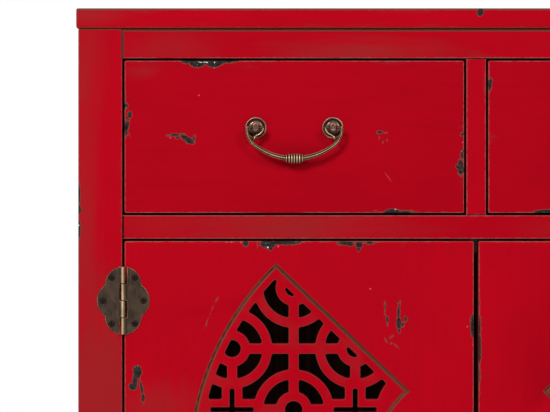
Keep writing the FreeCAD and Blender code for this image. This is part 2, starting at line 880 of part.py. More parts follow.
def bail_end():
    """The left end of a bail: the corner knob, the outer pivot, and the spur that curls round the eye post to
    a second pivot on its inner side."""
    post_x = -pull_spacing / 2
    knob_top = Vector(-bail_half_width, 0, 0)
    stalk = rod(bail_end_radius, Vector(-bail_half_width, 0, -bail_corner_start), knob_top)
    knob = Part.makeSphere(bail_pivot_radius, knob_top)
    pivot_tip = Vector(post_x - eye_width / 2 + bail_pivot_depth, 0, 0)
    pivot = rod(bail_pivot_radius, knob_top, pivot_tip)
    sweep = math.radians(spur_sweep_degrees)

    def on_spur(angle):
        return Vector(post_x + spur_ring_radius * math.cos(angle), 0, -spur_ring_radius * math.sin(angle))

    start = on_spur(0)
    turn = on_spur(sweep)
    outward = turn.sub(Vector(post_x, 0, 0)).normalize()
    tail_centre = turn.add(outward * spur_tail_radius)
    tail_mid = tail_centre.add(Vector(-1, 0, 0).add(outward * -1).normalize() * spur_tail_radius)
    tail_end = tail_centre.add(Vector(-spur_tail_radius, 0, 0))
    spine = Part.Wire(
        [
            Part.Arc(start, on_spur(sweep / 2), turn).toShape(),
            Part.Arc(turn, tail_mid, tail_end).toShape(),
        ]
    )
    section = Part.Wire(Part.makeCircle(spur_wire_radius, start, Vector(0, 0, -1)))
    spur = spine.makePipeShell([section], True, False)
    inner_knob = Part.makeSphere(bail_pivot_radius, start)
    inner_tip = Vector(post_x + eye_width / 2 - bail_pivot_depth, 0, 0)
    inner_pivot = rod(bail_pivot_radius, start, inner_tip)
    return [stalk, knob, pivot, spur, inner_knob, inner_pivot]


def bail_collar():
    """The beaded collar at the middle of a bail, turned about the bail's own line."""
    bead = collar_length / collar_beads
    steps = 4
    points = [Vector(-collar_length / 2, 0, 0)]
    for i in range(collar_beads):
        from_middle = abs(2 * (i + 0.5) / collar_beads - 1)
        crest = collar_radius + (collar_end_radius - collar_radius) * from_middle**2
        valley = crest - bead / 3
        for j in range(steps):
            x = -collar_length / 2 + (i + j / steps) * bead
            points.append(Vector(x, 0, valley + (crest - valley) * math.sin(math.pi * j / steps)))
    points.append(Vector(collar_length / 2, 0, collar_end_radius - bead / 3))
    points.append(Vector(collar_length / 2, 0, 0))
    collar = turned(points, Vector(0, 0, 0), Vector(1, 0, 0))
    collar.translate(Vector(0, 0, -bail_drop))
    return collar


def bail():
    """The left drawer's bail, hanging from its two eye posts."""
    half = [bail_arm()] + bail_end()
    whole = joined(half + [mirrored(piece) for piece in half] + [bail_collar()])
    whole.translate(Vector(drawer_middle, eye_axis, pull_height))
    return whole


def ring_pull():
    """The left door's ring, hanging through its eye post."""
    place = door_pull_place()
    centre = Vector(place.x, eye_axis, place.z - ring_radius)
    return Part.makeTorus(ring_radius, ring_wire_radius, centre, Vector(0, 1, 0))


# Assembly


def case_nodes(post_pilots):
    """The fixed case."""
    frame, cavities = rails()
    panel = side_panel()
    rear = back_panel()
    panel_housing = grown(panel, joint_fit)
    rear_housing = grown(rear, joint_fit)
    upright, upright_housing = muntin()
    front_post = post((front, front + post_width))
    back_post = post((back - post_width, back))
    plain_posts = [front_post, back_post, mirrored(front_post), mirrored(back_post)]
    front_post_cut = front_post.cut(cavities + [panel_housing] + post_pilots)
    back_post_cut = back_post.cut(cavities + [panel_housing, rear_housing])
    left_rails = [frame[name].cut(panel_housing) for name in ("left_top", "left_bottom")]
    back_rails = [frame[name].cut(rear_housing) for name in ("back_top", "back_mid", "back_bottom")]
    shelf, cleats = shelf_and_cleats()
    outer_runner, centre_runner = runners()
    front_apron, side_aprons = aprons()
    return {
        "top_board": top_board(),
        "front_left_post": front_post_cut,
        "front_right_post": mirrored(front_post_cut),
        "back_left_post": back_post_cut,
        "back_right_post": mirrored(back_post_cut),
        "front_top_rail": frame["front_top_rail"].cut(upright_housing),
        "front_mid_rail": frame["front_mid_rail"].cut(upright_housing),
        "front_bottom_rail": frame["front_bottom_rail"],
        "drawer_muntin": upright,
        "back_rails": back_rails,
        "side_rails": left_rails + [mirrored(r) for r in left_rails],
        "left_side_panel": panel,
        "right_side_panel": mirrored(panel),
        "back_panel": rear,
        "bottom_board": bottom_board(plain_posts),
        "shelf": shelf,
        "shelf_cleats": cleats,
        "outer_drawer_runners": [outer_runner, mirrored(outer_runner)],
        "centre_drawer_runner": centre_runner,
        "drawer_stops": [drawer_stop(), mirrored(drawer_stop())],
        "front_apron": front_apron,
        "side_aprons": side_aprons,
        "magnet_catch": magnet_catch(),
    }


def hinge_nodes():
    """The hinges: post leaves, pins and post screws stay with the case; the rest go with each door."""
    post_leaves = placed_on_hinges(hinge_leaf(-1))
    door_leaves = placed_on_hinges(hinge_leaf(1))
    pins = placed_on_hinges(hinge_pin())
    post_screws, post_pilots = hinge_screws(-1)
    door_screws, door_pilots = hinge_screws(1)
    nodes = {
        "post_hinge_leaves": post_leaves + [mirrored(s) for s in post_leaves],
        "hinge_pins": pins + [mirrored(s) for s in pins],
        "post_hinge_screws": post_screws + [mirrored(s) for s in post_screws],
        "left_door_hinge_leaves": door_leaves,
        "right_door_hinge_leaves": [mirrored(s) for s in door_leaves],
        "left_door_hinge_screws": door_screws,
        "right_door_hinge_screws": [mirrored(s) for s in door_screws],
    }
    return nodes, post_pilots, door_pilots


def both_sides(left_shapes, name_pattern):
    """Left and right nodes from the left shapes, named by a pattern with one gap for the side."""
    nodes = {}
    for part, shape in left_shapes.items():
        solids = shape if isinstance(shape, list) else [shape]
        nodes[name_pattern.format("left", part)] = solids
        nodes[name_pattern.format("right", part)] = [mirrored(s) for s in solids]
    return nodes


def drawer_nodes():
    """Both drawers with their pulls."""
    places = drawer_pull_places()
    pieces = drawer()
    pivot_hole = bail_pivot_radius + bail_pivot_fit
    pieces["roses"] = [rose(p) for p in places]
    pieces["eye_posts"] = [eye_post(p, drawer_front_thickness, pivot_hole) for p in places]
    pieces["nuts"] = [nut(p, drawer_front_thickness) for p in places]
    pieces["bail"] = bail()
    return both_sides(pieces, "{}_drawer_{}")


def door_nodes(pilots):
    """Both doors with their fans, strikes and ring pulls."""
    place = door_pull_place()
    ring_hole = ring_wire_radius + ring_eye_fit
    pieces = {
        "leaf": door_leaf(pilots),
        "fan_panel": fan_panel(),
        "strike": strike(),
        "rose": rose(place),
        "eye_post": eye_post(place, door_thickness, ring_hole),
        "nut": nut(place, door_thickness),
        "ring": ring_pull(),
    }
    return both_sides(pieces, "{}_door_{}")


def main():
    os.makedirs("parts", exist_ok=True)
    hinges, post_pilots, door_pilots = hinge_nodes()
    nodes = case_nodes(post_pilots)
    nodes.update(hinges)
    nodes.update(drawer_nodes())
    nodes.update(door_nodes(door_pilots))
    for name, shape in nodes.items():
        solids = shape if isinstance(shape, list) else [shape]
        flat = [solid for s in solids for solid in s.Solids]
        whole = flat[0] if len(flat) == 1 else Part.makeCompound(flat)
        whole.exportStep(os.path.join("parts", name + ".step"))
        valid = all(s.isValid() for s in flat)
        print(f"{name}: {len(flat)} solid(s), {sum(s.Volume for s in flat):.0f} mm3, valid {valid}")
    print(f"{len(nodes)} nodes, {height:.1f} mm tall")


main()
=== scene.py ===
"""Looks of a red lacquered entryway cabinet: worn lacquer, bronze pulls and hinges, bare timber inside."""

import json
import math

import bmesh
import bpy
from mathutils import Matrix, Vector

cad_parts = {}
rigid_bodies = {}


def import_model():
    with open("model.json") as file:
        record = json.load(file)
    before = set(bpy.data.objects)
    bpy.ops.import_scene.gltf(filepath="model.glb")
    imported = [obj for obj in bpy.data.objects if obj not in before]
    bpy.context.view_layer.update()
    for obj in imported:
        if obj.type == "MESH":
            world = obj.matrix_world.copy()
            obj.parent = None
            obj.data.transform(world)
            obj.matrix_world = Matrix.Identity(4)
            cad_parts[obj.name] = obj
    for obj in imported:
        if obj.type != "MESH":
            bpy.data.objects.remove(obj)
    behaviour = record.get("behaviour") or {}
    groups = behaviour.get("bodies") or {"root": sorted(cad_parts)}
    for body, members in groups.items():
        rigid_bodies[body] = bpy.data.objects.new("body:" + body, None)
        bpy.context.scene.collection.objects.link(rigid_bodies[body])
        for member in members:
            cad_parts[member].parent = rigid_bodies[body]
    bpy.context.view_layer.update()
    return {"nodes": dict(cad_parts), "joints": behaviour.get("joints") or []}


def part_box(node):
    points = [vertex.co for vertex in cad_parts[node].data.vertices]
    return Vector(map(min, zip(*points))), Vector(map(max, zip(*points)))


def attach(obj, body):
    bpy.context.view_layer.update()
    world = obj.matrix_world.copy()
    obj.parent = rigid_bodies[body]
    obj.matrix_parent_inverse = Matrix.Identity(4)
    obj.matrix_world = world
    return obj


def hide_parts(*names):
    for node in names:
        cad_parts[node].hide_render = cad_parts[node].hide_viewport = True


bl_info = {
    "name": "Entryway Cabinet",
    "version": (1, 0, 0),
    "blender": (4, 5, 0),
    "location": "View3D > Sidebar > Cabinet",
    "description": "Gives the frame of an entryway cabinet its lacquer, bronze and timber",
    "category": "Add Mesh",
}

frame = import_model()

MM = 0.001
X, Y, Z = range(3)
HAND_SIGNS = {"left": -1, "right": 1}
HANDS = tuple(HAND_SIGNS)

# Places read from the frame, in metres
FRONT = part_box("front_left_post")[0].y
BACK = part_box("back_left_post")[1].y
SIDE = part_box("front_right_post")[1].x
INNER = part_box("front_right_post")[0].x
CASE_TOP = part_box("front_left_post")[1].z

# Material slots of the lacquered pieces
PAINT, WORN, GROOVE, JOINT, SEAM = range(5)

# Tolerances for finding edges and faces by their place
WELD = 2e-6
NEAR = 2e-5
FLAT = math.radians(0.3)


def joint_place(name):
    """The point that a joint of the frame turns about."""
    joint = next(j for j in frame["joints"] if j["name"] == name)
    return Vector(joint["pos_m"])


PIN_X = abs(joint_place("left_door_hinge").x)
PIN_Y = joint_place("left_door_hinge").y


# Settings that a user would change


def length(name, description, default):
    """A size in metres."""
    return bpy.props.FloatProperty(
        name=name, description=description, default=default, min=0, precision=5, unit="LENGTH"
    )


def share(name, description, default):
    """A number from 0 to 1."""
    return bpy.props.FloatProperty(
        name=name, description=description, default=default, min=0, max=1, subtype="FACTOR"
    )


def colour(name, description, default):
    """A linear colour."""
    return bpy.props.FloatVectorProperty(
        name=name, description=description, default=default, min=0, max=1, subtype="COLOR"
    )


class CabinetEdges(bpy.types.PropertyGroup):
    """How far the edges of the boards are eased."""

    post: length("Post", "Easing of the posts' long edges", 1.2 * MM)
    rail: length("Rail", "Easing of the rails' front edges", 0.9 * MM)
    rail_top: length("Rail under the top", "Chamfer of the top rail under the top board", 3.1 * MM)
    joint: length("Joint", "Chamfer of the rails' ends against the posts", 1.8 * MM)
    board: length("Drawer and door", "Easing of the drawer fronts and doors", 0.9 * MM)
    corner: length("Corner", "Rounding of the drawer fronts' and doors' corners", 1.5 * MM)
    lattice: length("Lattice", "Easing round the openings of the fans", 0.6 * MM)
    hinge: length("Hinge leaf", "Easing of the hinge leaves' rims", 0.45 * MM)


class CabinetLacquer(bpy.types.PropertyGroup):
    """Colours of the lacquer and its wear."""

    red: colour("Red", "The lacquer itself", (0.405, 0.0012, 0.0086))
    deep_red: colour("Deep red", "Denser parts of the lacquer", (0.365, 0.0012, 0.008))
    rubbed: colour("Rubbed", "Lacquer rubbed thin, with brown coming through", (0.23, 0.022, 0.021))
    brown: colour("Brown", "Bare brown in the grooves", (0.138, 0.04, 0.025))
    seam: colour("Seam", "Dark brown where the top rail meets the posts", (0.1, 0.025, 0.019))
    # Also the colour of the painted shadow behind the hinge knuckles
    joint: colour("Joint", "Dirt in the joints", (0.006, 0.002, 0.002))
    # Painted shadow round the roses and below the bails, partly soiling
    grime: colour("Grime", "Lacquer darkened by hands and dirt", (0.17, 0.0008, 0.004))
    edge: colour("Worn edge", "Grey-brown of the worn edges", (0.27, 0.08, 0.075))
    primer: colour("Primer", "Dark coat under the chips", (0.03, 0.023, 0.023))
    olive: colour("Chip rim", "Grey-olive border of the chips", (0.115, 0.058, 0.044))
    fleck: colour("Fleck", "Pink flecks of a paler red", (0.58, 0.075, 0.085))
    chalk: colour("Chalk", "White ground at the bottom of the deepest chips", (0.75, 0.72, 0.7))
    roughness: share("Roughness", "Of sound lacquer", 0.5)


class CabinetBronze(bpy.types.PropertyGroup):
    """Colours of the metal."""

    dark: colour("Dark", "Aged bronze of the plates", (0.022, 0.0135, 0.0085))
    body: colour("Body", "Bronze of the pulls", (0.066, 0.037, 0.019))
    # Also used as painted highlight: on the bails' reed crests, bead crests and spur fronts, and on the
    # upper faces of the eye posts' rims
    rubbed: colour("Rubbed", "Where hands and turning keep it bright", (0.5, 0.34, 0.2))
    post: colour("Post", "Brown of the eye posts", (0.09, 0.048, 0.03))
    dome: colour("Dome", "Dark purplish bronze of the roses", (0.078, 0.038, 0.034))
    # Also used as painted shade: on the bails' pins and in their valleys and bead grooves, on the roses'
    # lower halves, at the hinge knuckles' breaks and beside their barrels
    recess: colour("Recess", "Dirt in the hollows", (0.012, 0.007, 0.004))
    steel: colour("Steel", "Nuts and strikes", (0.45, 0.44, 0.42))


class CabinetTimber(bpy.types.PropertyGroup):
    """Colours of the bare timber and the catch."""

    pale: colour("Pale", "Early growth", (0.18, 0.092, 0.044))
    dark: colour("Dark", "Late growth", (0.092, 0.041, 0.018))
    plastic: colour("Catch", "Brown plastic of the magnetic catch", (0.12, 0.05, 0.03))


class CabinetPulls(bpy.types.PropertyGroup):
    """Sizes of the drawer bails and the roses, about the bail's pivot line."""

    spacing: length("Spacing", "Between the two eye posts", 77 * MM)
    half_width: length("Half width", "From the middle to the outer pivots", 47.2 * MM)
    drop: length("Drop", "From the pivots to the bar's lowest point", 31 * MM)
    corner_radius: length("Corner radius", "Bend beside the posts", 20 * MM)
    corner_start: length("Corner start", "Straight run before the bend", 2 * MM)
    thin: length("Thin radius", "Of the bar beside the posts", 1.35 * MM)
    thick: length("Thick radius", "Of the bar at its middle", 2.75 * MM)
    reeds: bpy.props.IntProperty(name="Reeds", description="Ridges along the bar", default=6, min=3)
    pivot_radius: length("Pivot radius", "Of the pins in the eye posts", 1.5 * MM)
    collar_length: length("Collar length", "Along the bar", 18 * MM)
    collar_radius: length("Collar radius", "At its middle bead", 5 * MM)
    collar_end_radius: length("Collar end radius", "At its outer beads", 3.9 * MM)
    collar_beads: bpy.props.IntProperty(name="Beads", description="Rings of the collar", default=7, min=3)
    spur_radius: length("Spur radius", "Of the curl round an eye post", 7.6 * MM)
    spur_tail: length("Spur tail", "Radius of the curl's tail", 6.5 * MM)
    spur_wire: length("Spur wire", "Half the thickness of the spur", 1.0 * MM)
    leaf: length("Leaf", "Half the thickness of the leaf at the spur's tip", 1.75 * MM)
    eye_half_width: length("Half eye", "Half the width of an eye post", 3.25 * MM)
    eye_depth: length("Pin depth", "How far the pivots go into the eye posts", 2.4 * MM)
    eye_rim: length("Eye rim", "Width of the rim on an eye post's face", 0.9 * MM)
    rose_radius: length("Rose radius", "Of the round plate", 10.5 * MM)
    rose_bore: length("Rose bore", "Radius of the hole for the post", 2.5 * MM)
    rose_rim: length("Rim height", "Of the rose's rim", 1.3 * MM)
    dome_radius: length("Dome radius", "Of the rose's dome", 8.4 * MM)
    dome_height: length("Dome height", "Of the rose's dome", 4.2 * MM)
    hub_radius: length("Hub radius", "Flat top of the dome", 3.6 * MM)


class CabinetStage(bpy.types.PropertyGroup):
    """Camera and light."""

    lens: bpy.props.FloatProperty(name="Lens", description="Focal length", default=170, unit="CAMERA")
    frame_width: length("Frame width", "Width of the view at the cabinet's face", 0.55)
    centre_x: bpy.props.FloatProperty(
        name="Centre X", description="Middle of the view, across", default=-0.2012, unit="LENGTH"
    )
    centre_z: length("Centre Z", "Middle of the view, up", 0.6223)
    key_power: bpy.props.FloatProperty(
        name="Key", description="Strength of the large lamp at the upper left", default=142, unit="POWER"
    )
    fill_power: bpy.props.FloatProperty(
        name="Fill", description="Strength of the lamp at the upper right", default=48, unit="POWER"
    )
    sky: share("Sky", "Strength of the light from all round", 0.24)


# Shader graphs


class Value:
    """A shader value. An operator on it adds a Math node."""

    def __init__(self, graph, socket):
        self.graph = graph
        self.socket = socket

    def math(self, operation, *others):
        sockets = dict(enumerate((self,) + others))
        return self.graph.node("ShaderNodeMath", {"operation": operation}, sockets)

    def __add__(self, other):
        return self.math("ADD", other)

    def __sub__(self, other):
        return self.math("SUBTRACT", other)

    def __mul__(self, other):
        return self.math("MULTIPLY", other)

    __radd__ = __add__
    __rmul__ = __mul__

    def __rsub__(self, other):
        return self.math("MULTIPLY_ADD", -1.0, other)

    def least(self, other):
        return self.math("MINIMUM", other)

    def most(self, other):
        return self.math("MAXIMUM", other)

    def size(self):
        return self.math("ABSOLUTE")

    def step(self, start, end):
        """0 before start and 1 after end, smooth between them. Start may be the larger."""
        settings = {"interpolation_type": "SMOOTHSTEP"}
        return self.graph.node("ShaderNodeMapRange", settings, {0: self, 1: start, 2: end, 3: 0.0, 4: 1.0})


class Graph:
    """A node tree that is built from nothing."""

    def __init__(self, tree):
        self.tree = tree
        tree.nodes.clear()

    def node(self, kind, settings, sockets, out=0):
        """Adds a node with its settings and the values or links of its sockets, and gives one output."""
        node = self.tree.nodes.new(kind)
        for name, setting in settings.items():
            setattr(node, name, setting)
        for key, value in sockets.items():
            if isinstance(value, Value):
                self.tree.links.new(value.socket, node.inputs[key])
            elif isinstance(value, (int, float)):
                node.inputs[key].default_value = value
            else:
                values = tuple(value)
                sized = len(node.inputs[key].default_value)
                node.inputs[key].default_value = values + (1.0,) * (sized - len(values))
        return Value(self, node.outputs[out]) if node.outputs else None


class Finish(Graph):
    """The node tree of one material."""

    # Sockets of a Mix node for colours, whose names repeat
    FACTOR, START, END, RESULT = 0, 6, 7, 2

    def __init__(self, name):
        self.material = bpy.data.materials.new(name)
        self.material.use_nodes = True
        super().__init__(self.material.node_tree)
        self.place = self.node("ShaderNodeTexCoord", {}, {}, "Object")
        self.x, self.y, self.z = [
            self.node("ShaderNodeSeparateXYZ", {}, {"Vector": self.place}, axis) for axis in "XYZ"
        ]

    def noise(self, scale, detail=2.0, stretch=(1, 1, 1), offset=0.0):
        """Noise with so many features in a metre, stretched by a factor on each axis."""
        scaled = tuple(scale / s for s in stretch)
        shift = (offset, offset * 1.7, offset * 2.3)
        where = self.node(
            "ShaderNodeMapping", {}, {"Vector": self.place, "Scale": scaled, "Location": shift}
        )
        sockets = {"Vector": where, "Scale": 1.0, "Detail": detail, "Roughness": 0.55}
        return self.node("ShaderNodeTexNoise", {"noise_dimensions": "3D"}, sockets)

    def distance(self, vector):
        """How long a vector is."""
        return self.node("ShaderNodeVectorMath", {"operation": "LENGTH"}, {0: vector}, "Value")

    def mix(self, factor, start, end):
        """From one colour to another."""
        sockets = {self.FACTOR: factor, self.START: start, self.END: end}
        return self.node("ShaderNodeMix", {"data_type": "RGBA"}, sockets, self.RESULT)

    def bump(self, height, distance):
        """A normal that follows a height of so many metres."""
        return self.node("ShaderNodeBump", {}, {"Height": height, "Distance": distance, "Strength": 1.0})

    def done(self, **sockets):
        """Ends the tree in a Principled shader whose sockets are named with underscores for spaces."""
        named = {key.replace("_", " "): value for key, value in sockets.items()}
        shader = self.node("ShaderNodeBsdfPrincipled", {}, named)
        self.node("ShaderNodeOutputMaterial", {}, {"Surface": shader})
        return self.material


def stretched(along, factor):
    """Factors that draw noise out along one axis."""
    return tuple(factor if axis == along else 1.0 for axis in (X, Y, Z))


def times(factor, tint):
    """A colour made lighter or darker."""
    return tuple(factor * c for c in tint)


# Lacquer

# How far the marks run into the cabinet, and what takes a soft one below 0 behind the front
THROUGH = 1000
CUT_OFF = 9


def inside(graph, x, z, half_x, half_z, tilt=0):
    """How far a point is inside an ellipse on the front, in metres, and less than 0 outside it. The
    ellipse is given in millimetres in the frame, and turned by degrees."""
    place = graph.node(
        "ShaderNodeMapping",
        {"vector_type": "TEXTURE"},
        {
            "Vector": graph.place,
            "Location": (x * MM, 0, z * MM),
            "Rotation": (0, -math.radians(tilt), 0),
            "Scale": (half_x * MM, THROUGH, half_z * MM),
        },
    )
    reach = min(half_x, half_z) * MM
    return graph.distance(place).math("MULTIPLY_ADD", -reach, reach)


def depth_share(graph, ellipse):
    """How deep a point is in an ellipse: 1 at its middle, 0 on its outline and less outside it."""
    return inside(graph, *ellipse) * (1 / (min(ellipse[2:4]) * MM))


def deepest(graph, marks, behind):
    """How far a point is inside any of some ellipses, which stop behind the front."""
    depth = inside(graph, *marks[0])
    for mark in marks[1:]:
        depth = depth.most(inside(graph, *mark))
    return depth - behind


# The marks below are ellipses, each with its middle, its half sizes and its tilt

# Chips down to the primer, by node
CHIPS = {
    "left_drawer_front": [
        (-279, 766.5, 8, 5.6), (-262, 766.5, 9, 5.6), (-270, 767.5, 20, 3.6), (-288, 767.3, 7, 2.2),
        (-248, 767.3, 8, 2),
        (-350.7, 721.7, 2.2, 2.6), (-346.4, 713.2, 1.9, 3.4), (-349.5, 710.5, 3, 1),
        (-349.8, 701.5, 2.4, 5.2, -12), (-350, 695.5, 1.3, 3.2),
        (-300.5, 693.6, 5.5, 1, 4), (-289.5, 689.5, 7, 2.4, -28), (-285.7, 686.2, 3.8, 2, -10),
        (-282, 690.5, 0.8, 3.4, -12), (-298.6, 690.6, 1.4, 1.3), (-96.4, 696, 2.3, 1.6),
        (-14.2, 693.7, 1.3, 1.7), (-14.1, 673, 1.2, 4), (-15.5, 661, 2.9, 8), (-18, 661.5, 2.3, 2.3),
        (-83.5, 616, 8, 3.4), (-71, 616, 8, 1.3),
    ],
    "left_door_leaf": [
        (-230.7, 584.8, 2.7, 2.6), (-208, 584.5, 7.5, 4.3), (-205.5, 579.7, 2.2, 2), (-193, 585.7, 15, 2.2),
        (-130, 585, 7.3, 2.1), (-125, 583.3, 2.6, 1.4), (-117, 583.5, 4, 3), (-117.7, 579, 1.6, 2),
        (-106, 585.5, 4.3, 1.6), (-3.8, 503, 1.9, 9.5),
        (-77, 521.5, 0.9, 5.5, -6), (-77.7, 516, 1.2, 8), (-77.3, 505.5, 2.5, 6.5), (-77, 497.8, 1.3, 2),
        (-70.5, 509, 1.1, 2.2), (-73.3, 503.7, 1, 2, 30), (-89, 508.5, 1.1, 2.3), (-91, 520.5, 0.7, 3.6),
        (-338.7, 456.5, 4.2, 6), (-341.4, 447.4, 2.5, 4.6), (-343.5, 441.8, 4.1, 3.5),
        (-334.4, 438.5, 1.1, 7.5, 9), (-333.2, 431.5, 1.5, 4.2, 4),
    ],
    "right_door_leaf": [
        (3.3, 483, 1.3, 29), (262, 586, 16, 3), (278, 584, 6, 3.4), (348, 300, 2.4, 14), (345, 292, 2.2, 5),
        (92, 470, 2.2, 9, 12), (95, 460, 1.4, 5, 20), (180, 129, 16, 2.2), (196, 131, 5, 3),
        (318, 402, 4, 1.6, 25), (314, 399, 2, 2), (120, 560, 1.6, 4, -20),
    ],
    "right_drawer_front": [
        (214, 766.5, 14, 3), (203, 765, 6, 3.6), (350, 650, 2.2, 9), (348, 655, 2, 3),
        (120, 668, 7, 1.8, 14), (126, 671, 3, 2), (70, 616.5, 11, 2.6), (14, 744, 1.8, 6),
        (282, 640, 2.2, 1.5),
    ],
    "front_left_post": [
        (-397.4, 618.5, 2.2, 4.5), (-397.6, 599, 1.9, 9), (-397.6, 634, 1.7, 9), (-397, 262, 1.8, 11),
        (-372, 168, 2.4, 1.6, 30),
    ],
    "front_right_post": [(397.4, 530, 1.6, 12), (396.5, 523, 2, 4), (380, 90, 3, 1.6, -25)],
    "top_board": [(4, 816, 3.2, 4), (250, 818.5, 14, 2), (262, 817.5, 5, 2.6)],
}

# Scrapes down to a grey-olive coat, by node
SCRAPES = {
    "left_drawer_front": [
        (-90.4, 695.5, 1.8, 1.1), (-96.8, 690.7, 0.8, 1.6), (-93.2, 686, 0.8, 1.2), (-89.1, 688, 0.7, 1.5),
        (-351.1, 730, 0.8, 6), (-346.8, 693.5, 0.5, 3, 20), (-71, 617.4, 9, 0.9), (-101, 617.5, 2, 0.7),
    ],
    "left_door_leaf": [
        (-218.8, 583, 0.7, 2.8), (-88.9, 504, 0.8, 3.2, 12), (-84.8, 491.5, 2.6, 1, 38),
        (-84.8, 485.1, 1.2, 1.1), (-90.5, 488, 0.7, 2.6, 28), (-79.5, 482, 0.6, 3.2, 45),
        (-259.2, 528.7, 0.6, 3.4, -30), (-265.5, 516, 0.4, 9.5, -22), (-269.4, 506, 0.5, 2.6, -8),
        (-77, 496.3, 1.7, 1.2),
    ],
    "right_door_leaf": [(210, 520, 0.6, 12, 24), (300, 240, 0.7, 9, -35), (88, 452, 0.7, 4, 30)],
    "right_drawer_front": [(250, 715, 8, 0.6, -20), (140, 662, 2, 0.8, 30)],
    "front_left_post": [(-397.9, 600, 0.6, 205)],
    "front_right_post": [(397.9, 400, 0.6, 330)],
    "top_board": [(0, 820.2, 1500, 2.2), (-400.3, 811, 1.1, 16), (400.3, 811, 1.1, 16)],
}

# Pale flecks, by node
FLECKS = {
    "left_drawer_front": [
        (-277.3, 733, 0.8, 0.7), (-269.3, 765.9, 0.8, 0.5), (-271.5, 766.1, 1.3, 0.3),
        (-275.5, 766, 1.4, 0.3), (-261.6, 765.9, 0.45, 0.6), (-80.6, 619.2, 1, 0.6),
        (-13.3, 686, 0.6, 1), (-306, 690.5, 0.7, 0.6), (-88, 651.2, 0.2, 3.4, 38),
    ],
    "left_door_leaf": [
        (-105.9, 539.5, 0.9, 0.7), (-198, 582, 1, 0.8), (-208.4, 581, 0.8, 0.7), (-8.9, 501.7, 0.7, 0.7),
        (-3.1, 483.2, 0.6, 0.7), (-249.7, 586.2, 0.9, 0.6), (-244.8, 586.2, 0.9, 0.6),
        (-235, 586, 0.8, 0.9),
    ],
    "right_door_leaf": [(150, 505, 0.8, 0.7), (268, 583.5, 0.9, 0.7)],
    "right_drawer_front": [(300, 730, 0.8, 0.7), (207, 764, 0.9, 0.7)],
    "front_left_post": [(-397.7, 603, 0.7, 0.9)],
}

# Broad rubbed stretches and how strong they are, by node
RUBS = {
    "front_mid_rail": [
        ((-186, 601, 125, 24), 0.5), ((190, 600, 130, 20), 0.45), ((-310, 604, 60, 24), 0.25),
    ],
    "front_top_rail": [
        ((-106, 777, 80, 15), 0.55), ((-306, 780, 45, 15), 0.3), ((200, 786, 110, 12), 0.4),
    ],
    "front_left_post": [
        ((-394, 610, 18, 190), 0.4), ((-376, 430, 44, 120), 0.5), ((-396, 745, 24, 70), 0.4),
    ],
    "front_right_post": [((376, 300, 34, 200), 0.45)],
    "left_drawer_front": [((-333, 757, 20, 9), 0.35)],
    "left_door_leaf": [((-318, 424, 44, 22), 0.35), ((-250, 200, 80, 60), 0.25)],
    "right_door_leaf": [((260, 180, 70, 50), 0.3)],
    "right_drawer_front": [((300, 650, 50, 24), 0.25)],
    "top_board": [((-392, 814, 42, 11), 0.45)],
}

# Painted shadow of the hinges' knuckles on the lacquer behind them, by node
GRIME = {
    node: [(side * x, z, 4.2, 32) for z in (527.7, 187.3)]
    for hand, side in HAND_SIGNS.items()
    for node, x in ((f"{hand}_door_leaf", 349), (f"front_{hand}_post", 356.5))
}

# Soft painted shadow, partly soiling, round the roses and below the bails, and how strong it is, from a
# bail's middle and by node
BAIL_X = 182
BAIL_DIRT = [((-38.5, 697, 17, 18), 0.5), ((38.5, 697, 17, 18), 0.5), ((0, 672, 52, 18), 0.3)]
HALOS = {
    hand + "_drawer_front": [((side * BAIL_X + x, *rest), strength) for (x, *rest), strength in BAIL_DIRT]
    for hand, side in HAND_SIGNS.items()
}

# How strong the red of each board is
TONES = {
    "left_drawer_front": 0.88, "right_drawer_front": 0.88, "front_top_rail": 0.95, "front_mid_rail": 0.92,
    "front_left_post": 0.98, "front_right_post": 0.98, "drawer_muntin": 0.95,
}


def edge_distance(graph, low, high):
    """How far a point on a box is from the box's nearest edge: the middle one of its distances to the
    nearer face across each axis."""
    gaps = []
    for value, start, end in zip((graph.x, graph.y, graph.z), low, high):
        gaps.append((value - start).size().least((value - end).size()))
    a, b, c = gaps
    return a.least(b).most(a.most(b).least(c))


